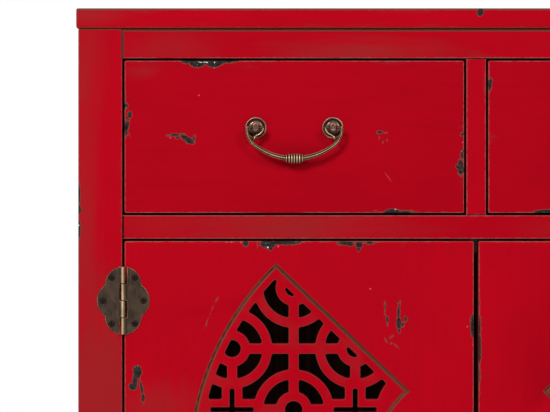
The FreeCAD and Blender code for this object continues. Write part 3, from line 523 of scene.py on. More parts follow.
def lacquer(node, low, high, grain, settings, wear=1.0, patchy=0.0):
    """Worn red lacquer for a board between two corners, whose grain runs along an axis."""
    graph = Finish(node + "_lacquer")
    seed = sum(map(ord, node)) % 97 * 0.37
    along = stretched(grain, 9.0)
    fine = graph.noise(520, offset=seed)
    rough = graph.noise(210, offset=seed + 2)
    patch = graph.noise(13, offset=seed + 5)
    cloud = graph.noise(8, offset=seed + 9)
    strokes = graph.noise(150, 3.0, along, seed + 3)
    edge = edge_distance(graph, low, high)
    behind = graph.y.step(low.y + 1.5 * MM, low.y + 3.5 * MM)

    tone = cloud * 0.8 + strokes * 0.5 - 0.15
    strength = TONES.get(node, 1.0)
    red, deep_red = times(strength, settings.red), times(strength, settings.deep_red)
    paint = graph.mix(tone.step(0.3, 0.7), red, deep_red)

    worn_off = (strokes * 0.7 + patch * 0.7 - edge * 14).step(0.72, 1.0) * (0.45 * wear)
    if patchy:
        dull = graph.noise(34, offset=seed + 13) + strokes * 0.3
        worn_off = worn_off.most(dull.step(0.62, 0.86) * patchy)
    for ellipse, strength in RUBS.get(node, []):
        soft = depth_share(graph, ellipse) + (strokes - 0.5) * 1.3 + (cloud - 0.5) * 1.2
        worn_off = worn_off.most((soft - behind * CUT_OFF).step(-0.45, 1.05) * strength)
    paint = graph.mix(worn_off, paint, settings.rubbed)
    # Painted shadow, partly soiling, round the roses and below the bails
    for ellipse, strength in HALOS.get(node, []):
        soft = depth_share(graph, ellipse) + (strokes - 0.5) * 0.2
        paint = graph.mix((soft - behind * CUT_OFF).step(0.0, 0.75) * strength, paint, settings.grime)

    thin = (edge + (rough - 0.5) * (2 * MM)).step(1.2 * MM, 0.4 * MM)
    thin = thin * patch.step(0.25, 0.45) * (0.8 * wear)
    paint = graph.mix(thin, paint, settings.edge)
    # Painted shadow of the hinge knuckles, in the colour of the joints
    if node in GRIME:
        dirt = deepest(graph, GRIME[node], behind) + (rough - 0.5) * (2 * MM)
        paint = graph.mix(dirt.step(-MM, 2 * MM) * 0.92, paint, settings.joint)

    # Chance chips along the edges, more of them where none are placed
    ragged = (rough - 0.5) * (3.2 * MM) + (fine - 0.5) * (2.2 * MM)
    hard_use = graph.z.step(430 * MM, 400 * MM).most(graph.x.step(6 * MM, 20 * MM)).most(behind)
    depth = (patch - 0.66) * (30 * MM * wear) - edge + hard_use * (4 * MM) - 4 * MM
    if node in CHIPS:
        depth = depth.most(deepest(graph, CHIPS[node], behind))
    depth = depth + ragged
    border = depth.step(-0.7 * MM, -0.1 * MM)
    bare = depth.step(-0.1 * MM, 0.4 * MM)
    if node in SCRAPES:
        scraped = (deepest(graph, SCRAPES[node], behind) + ragged * 0.4).step(-0.3 * MM, 0.4 * MM)
        border = border.most(scraped * 0.9)
    paint = graph.mix(border * 0.9, paint, settings.olive)
    dark, pale = times(0.5, settings.primer), times(1.15, settings.primer)
    paint = graph.mix(bare, paint, graph.mix((rough * 0.6 + fine * 0.4).step(0.4, 0.6), dark, pale))
    sparks = graph.noise(800, 1.0, offset=seed + 21).step(0.72, 0.78) * border * 0.6
    if node in FLECKS:
        sparks = sparks.most(deepest(graph, FLECKS[node], behind).step(-0.3 * MM, 0.3 * MM))
    paint = graph.mix(sparks, paint, graph.mix(bare, settings.fleck, settings.chalk))

    height = strokes * 0.1 + fine * 0.08 - bare
    return graph.done(
        Base_Color=paint,
        Roughness=bare * 0.3 + strokes * 0.1 + (settings.roughness - 0.05),
        Specular_IOR_Level=0.012,
        Normal=graph.bump(height, 0.15 * MM),
    )


def worn_edge(settings):
    """Eased edges, where the lacquer is rubbed to a grey-brown."""
    graph = Finish("worn_edge")
    rough = graph.noise(240, offset=4)
    patch = graph.noise(22, offset=8)
    paint = graph.mix((rough * 0.5 + patch * 0.6).step(0.4, 0.62), settings.red, settings.edge)
    dark = (rough * 0.5 + patch * 0.7).step(0.7, 0.82)
    paint = graph.mix(dark * 0.7, paint, settings.primer)
    return graph.done(
        Base_Color=paint,
        Roughness=dark * 0.2 + settings.roughness,
        Specular_IOR_Level=0.05,
        Normal=graph.bump(rough, 0.1 * MM),
    )


def lattice_edge(settings):
    """Eased edges of the lattice: lacquer rubbed to a dull dark red."""
    graph = Finish("lattice_edge")
    rough = graph.noise(200, offset=4)
    patch = graph.noise(25, offset=8)
    dull = times(0.45, settings.edge)
    paint = graph.mix((rough * 0.5 + patch * 0.6).step(0.4, 0.7), dull, settings.rubbed)
    return graph.done(Base_Color=paint, Roughness=rough * 0.2 + 0.4, Specular_IOR_Level=0.02)


def brown_groove(name, base, settings):
    """The bare brown of the grooves, streaked with red and dirt."""
    graph = Finish(name)
    fine = graph.noise(240, 3.0, offset=2)
    patch = graph.noise(30, offset=6)
    paint = graph.mix((fine * 0.5 + patch * 0.5).step(0.45, 0.7) * 0.6, base, settings.rubbed)
    paint = graph.mix((fine * 0.7 + patch * 0.3).step(0.56, 0.72) * 0.5, paint, settings.primer)
    return graph.done(
        Base_Color=paint,
        Roughness=fine * 0.2 + 0.6,
        Specular_IOR_Level=0.05,
        Normal=graph.bump(fine, 0.15 * MM),
    )


def dark_joint(settings):
    """Dirt and shrinkage where two boards meet."""
    graph = Finish("dark_joint")
    fine = graph.noise(260, offset=3)
    paint = graph.mix(fine.step(0.5, 0.75) * 0.5, settings.joint, settings.brown)
    return graph.done(Base_Color=paint, Roughness=fine * 0.2 + 0.7, Specular_IOR_Level=0.03)


# Bronze, steel, timber and plastic


def bronze(
    name, settings, base, bright, streak_axis=Z, roughness=0.4, cloud_scale=90, metallic=0.3, dirt=None
):
    """Aged metal with streaks, brighter in rubbed patches, darker in spots and darker still under a mask of
    painted shade when one is given.
    """
    graph = Finish(name)
    along = stretched(streak_axis, 8.0)
    streak = graph.noise(600, stretch=along, offset=3)
    cloud = graph.noise(cloud_scale, 3.0, offset=7)
    spot = graph.noise(700, offset=11)
    tint = graph.mix((streak * 0.35 + cloud * 0.75).step(0.4, 0.75), base, bright)
    tint = graph.mix(spot.step(0.56, 0.75) * 0.5, tint, settings.recess)
    # Painted shade, from a mask that the caller gives
    if dirt:
        tint = graph.mix(dirt(graph), tint, settings.recess)
    return graph.done(
        Base_Color=tint,
        Metallic=metallic,
        Roughness=streak * 0.16 + cloud * 0.12 + (roughness - 0.14),
        Specular_IOR_Level=0.12,
        Normal=graph.bump(streak * 0.4 + spot * 0.6, 0.06 * MM),
    )


def steel(settings):
    """Drawn steel."""
    graph = Finish("drawn_steel")
    streak = graph.noise(900, stretch=(12, 1, 1), offset=5)
    dull = times(0.7, settings.steel)
    return graph.done(
        Base_Color=graph.mix(streak.step(0.35, 0.65), dull, settings.steel),
        Metallic=1.0,
        Roughness=streak * 0.2 + 0.28,
        Normal=graph.bump(streak, 0.04 * MM),
    )


def timber(name, grain, settings):
    """Bare timber whose grain runs along an axis: growth bands, pores and a little dirt."""
    graph = Finish(name)
    along = stretched(grain, 16.0)
    drift = graph.noise(7, stretch=along, offset=2)
    bands = (drift * 170).math("SINE") * 0.5 + 0.5
    pores = graph.noise(900, stretch=along, offset=5)
    cloud = graph.noise(60, stretch=along, offset=8)
    shade = (bands * 0.35 + pores * 0.35 + cloud * 0.4).step(0.25, 0.85)
    tint = graph.mix(shade, settings.pale, settings.dark)
    pore = pores.step(0.62, 0.72)
    deep = times(0.35, settings.dark)
    tint = graph.mix(pore * 0.7, tint, deep)
    return graph.done(
        Base_Color=tint,
        Roughness=pores * 0.2 + 0.55,
        Specular_IOR_Level=0.2,
        Normal=graph.bump(bands * 0.2 - pore, 0.2 * MM),
    )


def plastic(settings):
    """Moulded plastic with a fine grain."""
    graph = Finish("catch_plastic")
    grain = graph.noise(1500, offset=3)
    shade = times(0.8, settings.plastic)
    return graph.done(
        Base_Color=graph.mix(grain.step(0.35, 0.65), shade, settings.plastic),
        Roughness=grain * 0.15 + 0.45,
        Normal=graph.bump(grain, 0.05 * MM),
    )


# Modelling by hand


def activate(piece):
    """Selects one piece and nothing else."""
    bpy.ops.object.select_all(action="DESELECT")
    piece.select_set(True)
    bpy.context.view_layer.objects.active = piece


def begin_edit(piece):
    """Opens one piece in edit mode."""
    activate(piece)
    bpy.ops.object.mode_set(mode="EDIT")


def end_edit():
    bpy.ops.object.mode_set(mode="OBJECT")


def new_piece(name, mesh=None, slots=0):
    """A piece at the origin, empty unless it is given a mesh, with some empty material slots."""
    piece = bpy.data.objects.new(name, mesh or bpy.data.meshes.new(name))
    bpy.context.scene.collection.objects.link(piece)
    for _ in range(slots):
        piece.data.materials.append(None)
    return piece


def copy_of(node, name):
    """A copy of a node as a new piece, with its loose triangles joined and its flat faces made whole."""
    piece = new_piece(name, frame["nodes"][node].data.copy())
    piece.data.materials.clear()
    begin_edit(piece)
    bpy.ops.mesh.select_all(action="SELECT")
    bpy.ops.mesh.remove_doubles(threshold=WELD)
    bpy.ops.mesh.dissolve_limited(angle_limit=FLAT)
    end_edit()
    return piece


def twin(piece, name, shift):
    """A copy of a finished shape with its own mesh, moved by a vector."""
    copy = new_piece(name, piece.data.copy())
    begin_edit(copy)
    bpy.ops.mesh.select_all(action="SELECT")
    bpy.ops.transform.translate(value=shift)
    end_edit()
    return copy


def select_where(piece, kind, wanted, needed=True):
    """Selects the vertices, edges or faces of a piece in edit mode that pass a test."""
    bpy.ops.mesh.select_mode(type=kind)
    bpy.ops.mesh.select_all(action="DESELECT")
    mesh = bmesh.from_edit_mesh(piece.data)
    mesh.normal_update()
    elements = {"VERT": mesh.verts, "EDGE": mesh.edges, "FACE": mesh.faces}[kind]
    found = [e for e in elements if wanted(e)]
    if needed and not found:
        raise RuntimeError(f"{piece.name}: nothing to select")
    for element in found:
        element.select_set(True)
    bmesh.update_edit_mesh(piece.data)


def ease(piece, wanted, width, segments=2, slot=WORN):
    """Rounds the edges that pass a test and gives the new faces the material in a slot."""
    begin_edit(piece)
    select_where(piece, "EDGE", wanted)
    bpy.ops.mesh.bevel(
        offset=width,
        offset_type="OFFSET",
        segments=segments,
        affect="EDGES",
        clamp_overlap=False,
        loop_slide=False,
        material=slot,
    )
    end_edit()


def cut_across(piece, places, axis):
    """Cuts the faces of a piece at some places along an axis."""
    normal = Vector([float(i == axis) for i in range(3)])
    begin_edit(piece)
    for place in places:
        bpy.ops.mesh.select_all(action="SELECT")
        bpy.ops.mesh.bisect(plane_co=normal * place, plane_no=normal)
    end_edit()


def paint_faces(piece, wanted, slot):
    """Gives the faces that pass a test the material in a slot."""
    begin_edit(piece)
    select_where(piece, "FACE", wanted)
    piece.active_material_index = slot
    bpy.ops.object.material_slot_assign()
    end_edit()


def smooth(piece, degrees):
    """Smooth shading up to an angle between faces."""
    activate(piece)
    bpy.ops.object.shade_smooth_by_angle(angle=math.radians(degrees))


def turn(points, centre, axis, steps):
    """Adds a shape turned about an axis to the mesh in edit mode, from the points of its profile."""
    bpy.ops.mesh.select_mode(type="VERT")
    bpy.ops.mesh.select_all(action="DESELECT")
    bpy.ops.mesh.primitive_plane_add(size=MM, location=points[0])
    bpy.ops.mesh.merge(type="CENTER")
    for start, end in zip(points, points[1:]):
        bpy.ops.mesh.extrude_vertices_move(TRANSFORM_OT_translate={"value": end - start})
    bpy.ops.mesh.select_linked()
    bpy.ops.mesh.spin(steps=steps, angle=2 * math.pi, center=centre, axis=axis)
    bpy.ops.mesh.select_linked()
    bpy.ops.mesh.remove_doubles(threshold=WELD)
    bpy.ops.mesh.normals_make_consistent(inside=False)


def push_ring(move=None, centre=None, angle=0.0, grow=1.0, middle=None):
    """Extrudes the selected ring, moves it or turns it about a centre in the front plane, and scales it
    about its own middle."""
    bpy.ops.mesh.extrude_region_move()
    if move is not None:
        bpy.ops.transform.translate(value=move)
    if angle:
        bpy.ops.transform.rotate(value=angle, orient_axis="Y", center_override=centre)
    if grow != 1.0:
        bpy.ops.transform.resize(value=(grow, grow, grow), center_override=middle)


def at(value, limit):
    return abs(value - limit) < NEAR


def sharp(edge, degrees=20):
    """Whether two faces meet at an edge at more than an angle."""
    return len(edge.link_faces) == 2 and edge.calc_face_angle() > math.radians(degrees)


def on_face(edge, axis, limit):
    """Whether an edge lies in a plane across an axis."""
    return all(at(v.co[axis], limit) for v in edge.verts)


def on_corner(edge, low, high):
    """Whether an edge runs along an edge of a box."""
    planes = [(axis, limit) for axis in (X, Y, Z) for limit in (low[axis], high[axis])]
    return sum(on_face(edge, axis, limit) for axis, limit in planes) >= 2


def dress(piece, node, body, slot, *materials):
    """Gives a piece its materials, and makes it stand for a node on a body."""
    slots = piece.data.materials
    for i, material in enumerate(materials):
        if i < len(slots):
            slots[i] = material
        else:
            slots.append(material)
    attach(piece, body)
    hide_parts(node)
    return piece


def lacquered(node, body, *materials):
    """A copy of a node on a body, in lacquer and its wear."""
    return dress(copy_of(node, "lacquered_" + node), node, body, "red_lacquer", *materials)


def aged(node, body, *materials):
    """A copy of a node on a body, in bronze."""
    return dress(copy_of(node, "aged_" + node), node, body, "aged_bronze", *materials)


def give_material(node, material):
    """Puts a material on a node that keeps its own shape."""
    mesh = frame["nodes"][node].data
    mesh.materials.clear()
    mesh.materials.append(material)


# Operators, one for each group of pieces


class CABINET_OT_case(bpy.types.Operator):
    """Lacquers the top, posts, rails, muntin and side panels, and eases their edges"""

    bl_idname = "cabinet.case"
    bl_label = "Case"

    def execute(self, context):
        paint = context.scene.cabinet_lacquer
        edges = context.scene.cabinet_edges
        grooves = (brown_groove("brown_groove", paint.brown, paint), dark_joint(paint))
        wear = (worn_edge(paint), *grooves, brown_groove("rail_seam", paint.seam, paint))
        self.top(paint, wear)
        for node in ("front_left_post", "front_right_post", "back_left_post", "back_right_post"):
            self.post(node, paint, edges, wear)
        for node in ("front_top_rail", "front_mid_rail", "front_bottom_rail"):
            self.rail(node, paint, edges, wear)
        self.muntin(paint, edges, wear)
        self.outer_rails("side_rails", X, (-SIDE, SIDE), Y, paint, edges, wear)
        self.outer_rails("back_rails", Y, (BACK,), X, paint, edges, wear)
        for hand in HANDS:
            node = hand + "_side_panel"
            give_material(node, lacquer(node, *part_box(node), Z, paint, wear=0.4))
        return {"FINISHED"}

    def top(self, paint, wear):
        node = "top_board"
        piece = copy_of(node, "lacquered_top")
        low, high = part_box(node)
        dress(piece, node, "case", "red_lacquer", lacquer(node, low, high, X, paint), *wear)
        under = low.z + 0.9 * MM
        paint_faces(piece, lambda f: f.calc_center_median().z < under and abs(f.normal.z) < 0.95, GROOVE)
        smooth(piece, 30)

    def post(self, node, paint, edges, wear):
        low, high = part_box(node)
        piece = lacquered(node, "case", lacquer(node, low, high, Z, paint, wear=0.6), *wear)
        inner_x, inner_y = [min((low[axis], high[axis]), key=abs) for axis in (X, Y)]

        def long_edge(edge, outer):
            for x in (low.x, high.x):
                for y in (low.y, high.y):
                    wanted = (x != inner_x and y != inner_y) == outer
                    if wanted and on_face(edge, X, x) and on_face(edge, Y, y):
                        return True
            return False

        for outer in (True, False):
            ease(piece, lambda e: long_edge(e, outer), edges.post, slot=PAINT)
        paint_faces(piece, lambda f: 0.1 < f.normal.z < 0.95, GROOVE)
        if node.startswith("front"):
            self.post_joint(piece, inner_x, low.y, edges)

    def post_joint(self, piece, inner_x, front_y, edges):
        """Brown easing where the top rail meets a post."""
        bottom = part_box("front_top_rail")[0].z
        cut_across(piece, [bottom], Z)

        def in_joint(face):
            middle = face.calc_center_median()
            beside = abs(middle.x - inner_x) < edges.post and abs(middle.y - front_y) < edges.post
            leaning = abs(face.normal.x) > 0.1 and abs(face.normal.y) > 0.1
            return beside and leaning and middle.z > bottom

        paint_faces(piece, in_joint, SEAM)

    def rail(self, node, paint, edges, wear):
        low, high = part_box(node)
        low.x, high.x = -INNER, INNER
        beyond = Vector((20 * MM, 0, 0))
        piece = lacquered(node, "case", lacquer(node, low - beyond, high + beyond, X, paint), *wear)

        def upper_edge(edge):
            return on_face(edge, Y, FRONT) and on_corner(edge, low, high) and on_face(edge, Z, high.z)

        def lower_edge(edge):
            return on_face(edge, Y, FRONT) and on_corner(edge, low, high) and on_face(edge, Z, low.z)

        def end_edge(edge):
            """An edge up the front at one end, between edges that are already eased."""
            upright = abs(edge.verts[0].co.z - edge.verts[1].co.z) > (high.z - low.z) / 2
            return upright and on_face(edge, Y, FRONT) and any(on_face(edge, X, x) for x in (low.x, high.x))

        if at(high.z, CASE_TOP):
            ease(piece, upper_edge, edges.rail_top, 1, GROOVE)
            ease(piece, lower_edge, edges.rail, slot=PAINT)
            ease(piece, end_edge, edges.joint, 1, SEAM)
        else:
            ease(piece, lambda e: upper_edge(e) or lower_edge(e), edges.rail, slot=PAINT)
            ease(piece, end_edge, edges.joint, 1, JOINT)

    def muntin(self, paint, edges, wear):
        node = "drawer_muntin"
        low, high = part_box(node)
        low.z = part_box("front_mid_rail")[1].z
        high.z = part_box("front_top_rail")[0].z
        piece = lacquered(node, "case", lacquer(node, low, high, Z, paint), *wear)

        def front_edge(edge, axis):
            limits = (low[axis], high[axis])
            return on_face(edge, Y, FRONT) and any(on_face(edge, axis, limit) for limit in limits)

        ease(piece, lambda e: front_edge(e, X), edges.board, slot=PAINT)
        ease(piece, lambda e: front_edge(e, Z), edges.board, 1, JOINT)

    def outer_rails(self, node, axis, faces, grain, paint, edges, wear):
        """Rails that show on one outer face of the case."""
        piece = lacquered(node, "case", lacquer(node, *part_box(node), grain, paint, wear=0.5), *wear)
        ease(piece, lambda e: sharp(e) and any(on_face(e, axis, f) for f in faces), edges.rail)


class CABINET_OT_aprons(bpy.types.Operator):
    """Lacquers the aprons and eases their edges"""

    bl_idname = "cabinet.aprons"
    bl_label = "Aprons"

    def execute(self, context):
        paint = context.scene.cabinet_lacquer
        width = context.scene.cabinet_edges.board
        worn = bpy.data.materials["worn_edge"]
        for node, grain in (("front_apron", X), ("side_aprons", Y)):
            low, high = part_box(node)
            piece = lacquered(node, "case", lacquer(node, low, high, grain, paint, wear=0.6), worn)
            outer = [(Y, low.y)] if grain == X else [(X, low.x), (X, high.x)]
            ease(piece, lambda e: sharp(e) and any(on_face(e, *plane) for plane in outer), width)
            smooth(piece, 15)
        return {"FINISHED"}


class CABINET_OT_drawer_fronts(bpy.types.Operator):
    """Lacquers the drawer fronts and eases their edges"""

    bl_idname = "cabinet.drawer_fronts"
    bl_label = "Drawer fronts"

    def execute(self, context):
        paint = context.scene.cabinet_lacquer
        for hand in HANDS:
            node = hand + "_drawer_front"
            low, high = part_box(node)
            piece = lacquered(node, hand + "_drawer", lacquer(node, low, high, X, paint))
            round_board(piece, low, high, context.scene.cabinet_edges)
            smooth(piece, 25)
        return {"FINISHED"}


def round_board(piece, low, high, edges):
    """Rounds the four corners of a board, and then eases its outline at the front."""
    band = 2 * edges.corner
    cut_across(piece, [low.x + band, high.x - band], X)
    cut_across(piece, [low.z + band, high.z - band], Z)

    def margin(edge):
        middle = (edge.verts[0].co + edge.verts[1].co) / 2
        return min(middle.x - low.x, high.x - middle.x, middle.z - low.z, high.z - middle.z)

    def slanting(edge):
        step = edge.verts[0].co - edge.verts[1].co
        return abs(step.x) > NEAR and abs(step.z) > NEAR and margin(edge) < band

    def corner(edge):
        at_side = any(on_face(edge, X, x) for x in (low.x, high.x))
        return at_side and any(on_face(edge, Z, z) for z in (low.z, high.z))

    begin_edit(piece)
    select_where(piece, "EDGE", slanting, False)
    bpy.ops.mesh.dissolve_edges(use_verts=True)
    end_edit()
    ease(piece, corner, edges.corner, 3, PAINT)
    ease(piece, lambda e: on_face(e, Y, FRONT) and margin(e) < edges.corner / 2, edges.board, slot=PAINT)


class CABINET_OT_doors(bpy.types.Operator):
    """Lacquers the doors and their pierced fans, with bare brown in the groove round each fan"""

    bl_idname = "cabinet.doors"
    bl_label = "Doors"

    def execute(self, context):
        paint = context.scene.cabinet_lacquer
        edges = context.scene.cabinet_edges
        wear = (lattice_edge(paint), bpy.data.materials["brown_groove"])
        for hand in HANDS:
            body = hand + "_door"
            node = hand + "_door_leaf"
            low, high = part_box(node)
            leaf = lacquered(node, body, lacquer(node, low, high, Z, paint), *wear)
            self.groove(leaf)
            round_board(leaf, low, high, edges)
            smooth(leaf, 25)
            node = hand + "_door_fan_panel"
            fan = lacquered(node, body, lacquer(node, low, high, X, paint, patchy=0.24), *wear)
            self.groove(fan)
            ease(fan, lambda e: sharp(e, 60) and on_face(e, Y, FRONT), edges.lattice)
            smooth(fan, 25)
        return {"FINISHED"}

    def groove(self, piece):
        """Bares the brown of the groove round the fan, and makes it shallower, as if lacquer filled it."""

        def slanted(face):
            return -0.9 < face.normal.y < -0.4

        def at_bottom(vertex):
            return vertex.co.y > FRONT + 0.3 * MM and any(slanted(face) for face in vertex.link_faces)

        paint_faces(piece, slanted, GROOVE)
        begin_edit(piece)
        select_where(piece, "VERT", at_bottom)
        mesh = bmesh.from_edit_mesh(piece.data)
        deep = max(v.co.y for v in mesh.verts if v.select) - FRONT
        bpy.ops.transform.translate(value=(0, -0.6 * deep, 0))
        end_edit()


class CABINET_OT_hinges(bpy.types.Operator):
    """Makes the hinges of aged bronze, with bright knuckles and dark screws"""

    bl_idname = "cabinet.hinges"
    bl_label = "Hinges"

    # Material slots after the plate's own; the last two are painted shade, in the breaks between the
    # knuckles and on the knuckles' sides that face +x
    RIM, KNUCKLE, GAP, DULL = 1, 2, 3, 4

    KNUCKLE_RADIUS = FRONT - PIN_Y
    LEAF_THICKNESS = 1.4 * MM
    LEAF_GAP = 0.3 * MM
    NOTCH = 1.6 * MM
    KNUCKLE_CHAMFER = 0.3 * MM

    def execute(self, context):
        metal = context.scene.cabinet_bronze
        width = context.scene.cabinet_edges.hinge
        # The plates take painted shadow beside the barrels
        worn_plate = {"roughness": 0.5, "cloud_scale": 60, "metallic": 0.2, "dirt": self.beside_barrel}
        plate = bronze("hinge_plate", metal, metal.dark, times(3, metal.dark), **worn_plate)
        rim = bronze("hinge_rim", metal, times(1.5, metal.body), times(0.7, metal.rubbed))
        worn, bright, dull = [times(factor, metal.rubbed) for factor in (0.8, 1.2, 0.22)]
        knuckle = bronze("hinge_knuckle", metal, worn, bright, metallic=0.4)
        # Painted shade for the knuckles' sides that face +x, away from the key lamp
        shade = bronze("hinge_knuckle_dull", metal, dull, times(1.5, dull), roughness=0.45, metallic=0.4)
        dark, paler, palest = [times(factor, metal.recess) for factor in (1, 1.4, 1.5)]
        screw = bronze("hinge_screw", metal, dark, paler, streak_axis=X, roughness=0.35)
        # Painted shade for the breaks between the knuckles
        gap = bronze("hinge_gap", metal, dark, palest, streak_axis=X, roughness=0.6)
        owners = {"post": "case", "left_door": "left_door", "right_door": "right_door"}
        for prefix, body in owners.items():
            node = prefix + "_hinge_leaves"
            self.leaves(aged(node, body, plate, rim, knuckle, gap, shade), node, width)
        for prefix, body in owners.items():
            smooth(aged(prefix + "_hinge_screws", body, screw), 40)
        give_material("hinge_pins", knuckle)
        return {"FINISHED"}

    def beside_barrel(self, graph):
        """Painted shadow along both sides of the hinge barrels."""
        off_axis = (graph.x.size() - PIN_X).size() - self.KNUCKLE_RADIUS
        return off_axis.step(2.6 * MM, 0.9 * MM) * 0.8

    def leaves(self, piece, node, width):
        """Opens the notches, eases the rims and brightens the knuckles."""
        for hand, side in HAND_SIGNS.items():
            if node.startswith(("post", hand)):
                self.open_notches(piece, side * PIN_X, side if node.startswith("post") else -side)

        def off_pin(place):
            return math.hypot(abs(place.x) - PIN_X, place.y - PIN_Y)

        def on_knuckle(face):
            return off_pin(face.calc_center_median()) < self.KNUCKLE_RADIUS + 0.1 * MM

        def knuckle_end(edge):
            low, high = sorted(v.co.z for v in edge.verts)
            outside = all(v.co.y < FRONT - self.LEAF_THICKNESS - 0.1 * MM for v in edge.verts)
            on_barrel = min(off_pin(v.co) for v in edge.verts) > 0.9 * self.KNUCKLE_RADIUS
            return high - low < NEAR and outside and sharp(edge, 60) and on_barrel

        face_y = FRONT - self.LEAF_THICKNESS
        ease(piece, lambda e: sharp(e, 60) and on_face(e, Y, face_y), width, 1, self.RIM)
        paint_faces(piece, on_knuckle, self.KNUCKLE)
        # Painted shade on the knuckles' sides that face +x
        paint_faces(piece, lambda f: on_knuckle(f) and f.normal.x > 0.05, self.DULL)
        # Painted shade on the chamfers at the breaks between the knuckles
        ease(piece, knuckle_end, self.KNUCKLE_CHAMFER, 1, self.GAP)
        smooth(piece, 25)

    def open_notches(self, piece, pin_x, outward):
        """Widens the gaps beside the knuckles of the other leaf."""
        inner_edge = pin_x + outward * (self.KNUCKLE_RADIUS + self.LEAF_GAP)

        def beside_knuckle(face):
            return abs(face.normal.x) > 0.9 and at(face.calc_center_median().x, inner_edge)

        begin_edit(piece)
        select_where(piece, "FACE", beside_knuckle)
        bpy.ops.transform.translate(value=(outward * self.NOTCH, 0, 0))
        end_edit()


class CABINET_OT_bails(bpy.types.Operator):
    """Makes the drawer bails: a reeded bar with a beaded collar, and at each end a spur with a leaf"""

    bl_idname = "cabinet.bails"
    bl_label = "Bails"

    # Material slots after the bar's own: soiling with painted shade in the recesses, and painted highlights
    RECESS, BRIGHT = 1, 2

    # Points across each reed of the bar
    REED_POINTS = 6

    def execute(self, context):
        metal = context.scene.cabinet_bronze
        self.sizes = context.scene.cabinet_pulls
        polish = {"streak_axis": X, "roughness": 0.3, "metallic": 0.5}
        body = bronze("pull_bronze", metal, metal.body, times(1.5, metal.body), **polish)
        # Painted highlights on the crests of the reeds and beads and on the fronts of the spurs
        bright = bronze("pull_bright", metal, times(0.7, metal.rubbed), metal.rubbed, **polish)
        # Soiling and painted shade in the bails' recesses and on their pins
        recess = bronze("pull_recess", metal, metal.recess, metal.dark, streak_axis=X, roughness=0.6)
        self.pivot = joint_place("left_bail_swing")
        bail = self.model()
        shift = joint_place("right_bail_swing") - self.pivot
        other = twin(bail, "aged_right_drawer_bail", shift)
        for hand, piece in zip(HANDS, (bail, other)):
            dress(piece, hand + "_drawer_bail", hand + "_bail", "aged_bronze", body, recess, bright)
            smooth(piece, 32)
        return {"FINISHED"}

    def point(self, x, z):
        """A point in the bail's plane, from the middle of its pivot line."""
        return self.pivot + Vector((x, 0, z))

    def model(self):
        """The left bail, with its slots painted."""
        bail = new_piece("aged_left_drawer_bail", slots=3)
        for name in ("valleys", "crests"):
            bail.vertex_groups.new(name=name)
        begin_edit(bail)
        self.arm(bail)
        self.spur()
        self.pins()
        self.rings()
        bpy.ops.mesh.select_all(action="SELECT")
        bpy.ops.mesh.duplicate()
        bpy.ops.transform.resize(value=(-1, 1, 1), center_override=self.pivot)
        bpy.ops.mesh.flip_normals()
        self.collar()
        bpy.ops.mesh.select_all(action="SELECT")
        bpy.ops.mesh.normals_make_consistent(inside=False)
        # Painted highlights on the reeds' crests, soiling and painted shade in their valleys
        for slot, name in ((self.BRIGHT, "crests"), (self.RECESS, "valleys")):
            bpy.ops.mesh.select_all(action="DESELECT")
            bpy.ops.object.vertex_group_set_active(group=name)
            bpy.ops.object.vertex_group_select()
            bpy.ops.mesh.select_more()
            bail.active_material_index = slot
            bpy.ops.object.material_slot_assign()
        end_edit()
        self.paint(bail)
        return bail

    def paint(self, bail):
        """Soiling and painted shade between the collar's beads, painted shade on the pins, and painted
        highlights on the beads' crests and the spurs' fronts.
        """
        sizes = self.sizes
        line = self.point(0, -sizes.drop)
        pin_reach = 6.2 * MM
        spur_top, spur_bottom = -MM, -15.5 * MM
        spur_side = sizes.spacing / 2 + 1.5 * MM

        def bead_share(face):
            """How far out a face of the collar is, as a share of its bead's radius."""
            middle = face.calc_center_median()
            along = abs(middle.x - line.x)
            if along > sizes.collar_length / 2 - 0.3 * MM:
                return 0
            crest = self.crest(2 * along / sizes.collar_length)
            return math.hypot(middle.y - line.y, middle.z - line.z) / crest

        def on_pin(face):
            off = face.calc_center_median() - self.pivot
            near_post = abs(abs(off.x) - sizes.spacing / 2) < pin_reach
            return near_post and math.hypot(off.y, off.z) < 1.15 * sizes.pivot_radius

        def on_spur(face):
            off = face.calc_center_median() - self.pivot
            below = spur_bottom < off.z < spur_top
            return below and abs(off.x) < spur_side and face.normal.y < -0.9

        # Soiling and painted shade between the beads, painted highlights on their crests
        paint_faces(bail, lambda f: 0.7 < bead_share(f) < 0.94, self.RECESS)
        paint_faces(bail, lambda f: 0.97 < bead_share(f) < 1.2, self.BRIGHT)
        # Painted shade on the pins, painted highlights on the spurs' fronts
        paint_faces(bail, on_pin, self.RECESS)
        paint_faces(bail, on_spur, self.BRIGHT)

    def crest(self, from_middle):
        """The collar's radius on a bead, from 0 at its middle to 1 at its ends."""
        sizes = self.sizes
        return sizes.collar_radius + (sizes.collar_end_radius - sizes.collar_radius) * from_middle**2

    def ring(self, bail, centre, radius, reeds):
        """A ring of points across the bar, with valleys between its reeds, ready to be extruded."""
        corners = self.REED_POINTS * reeds
        bpy.ops.mesh.select_mode(type="VERT")
        bpy.ops.mesh.select_all(action="DESELECT")
        bpy.ops.mesh.primitive_circle_add(vertices=corners, radius=radius, location=centre)
        chosen = {v.index for v in bmesh.from_edit_mesh(bail.data).verts if v.select}

        def spot(vertex):
            angle = math.atan2(vertex.co.y - centre.y, vertex.co.x - centre.x)
            return round(angle / (2 * math.pi) * corners) % self.REED_POINTS

        reed = ((0, 0.72, "valleys"), (1, 0.9, None), (5, 0.9, None), (3, 1.0, "crests"))
        for step, scale, group in reed:
            select_where(bail, "VERT", lambda v: v.index in chosen and spot(v) == step)
            bpy.ops.transform.resize(value=(scale, scale, scale), center_override=centre)
            if group:
                bpy.ops.object.vertex_group_set_active(group=group)
                bpy.ops.object.vertex_group_assign()
        select_where(bail, "VERT", lambda v: v.index in chosen)

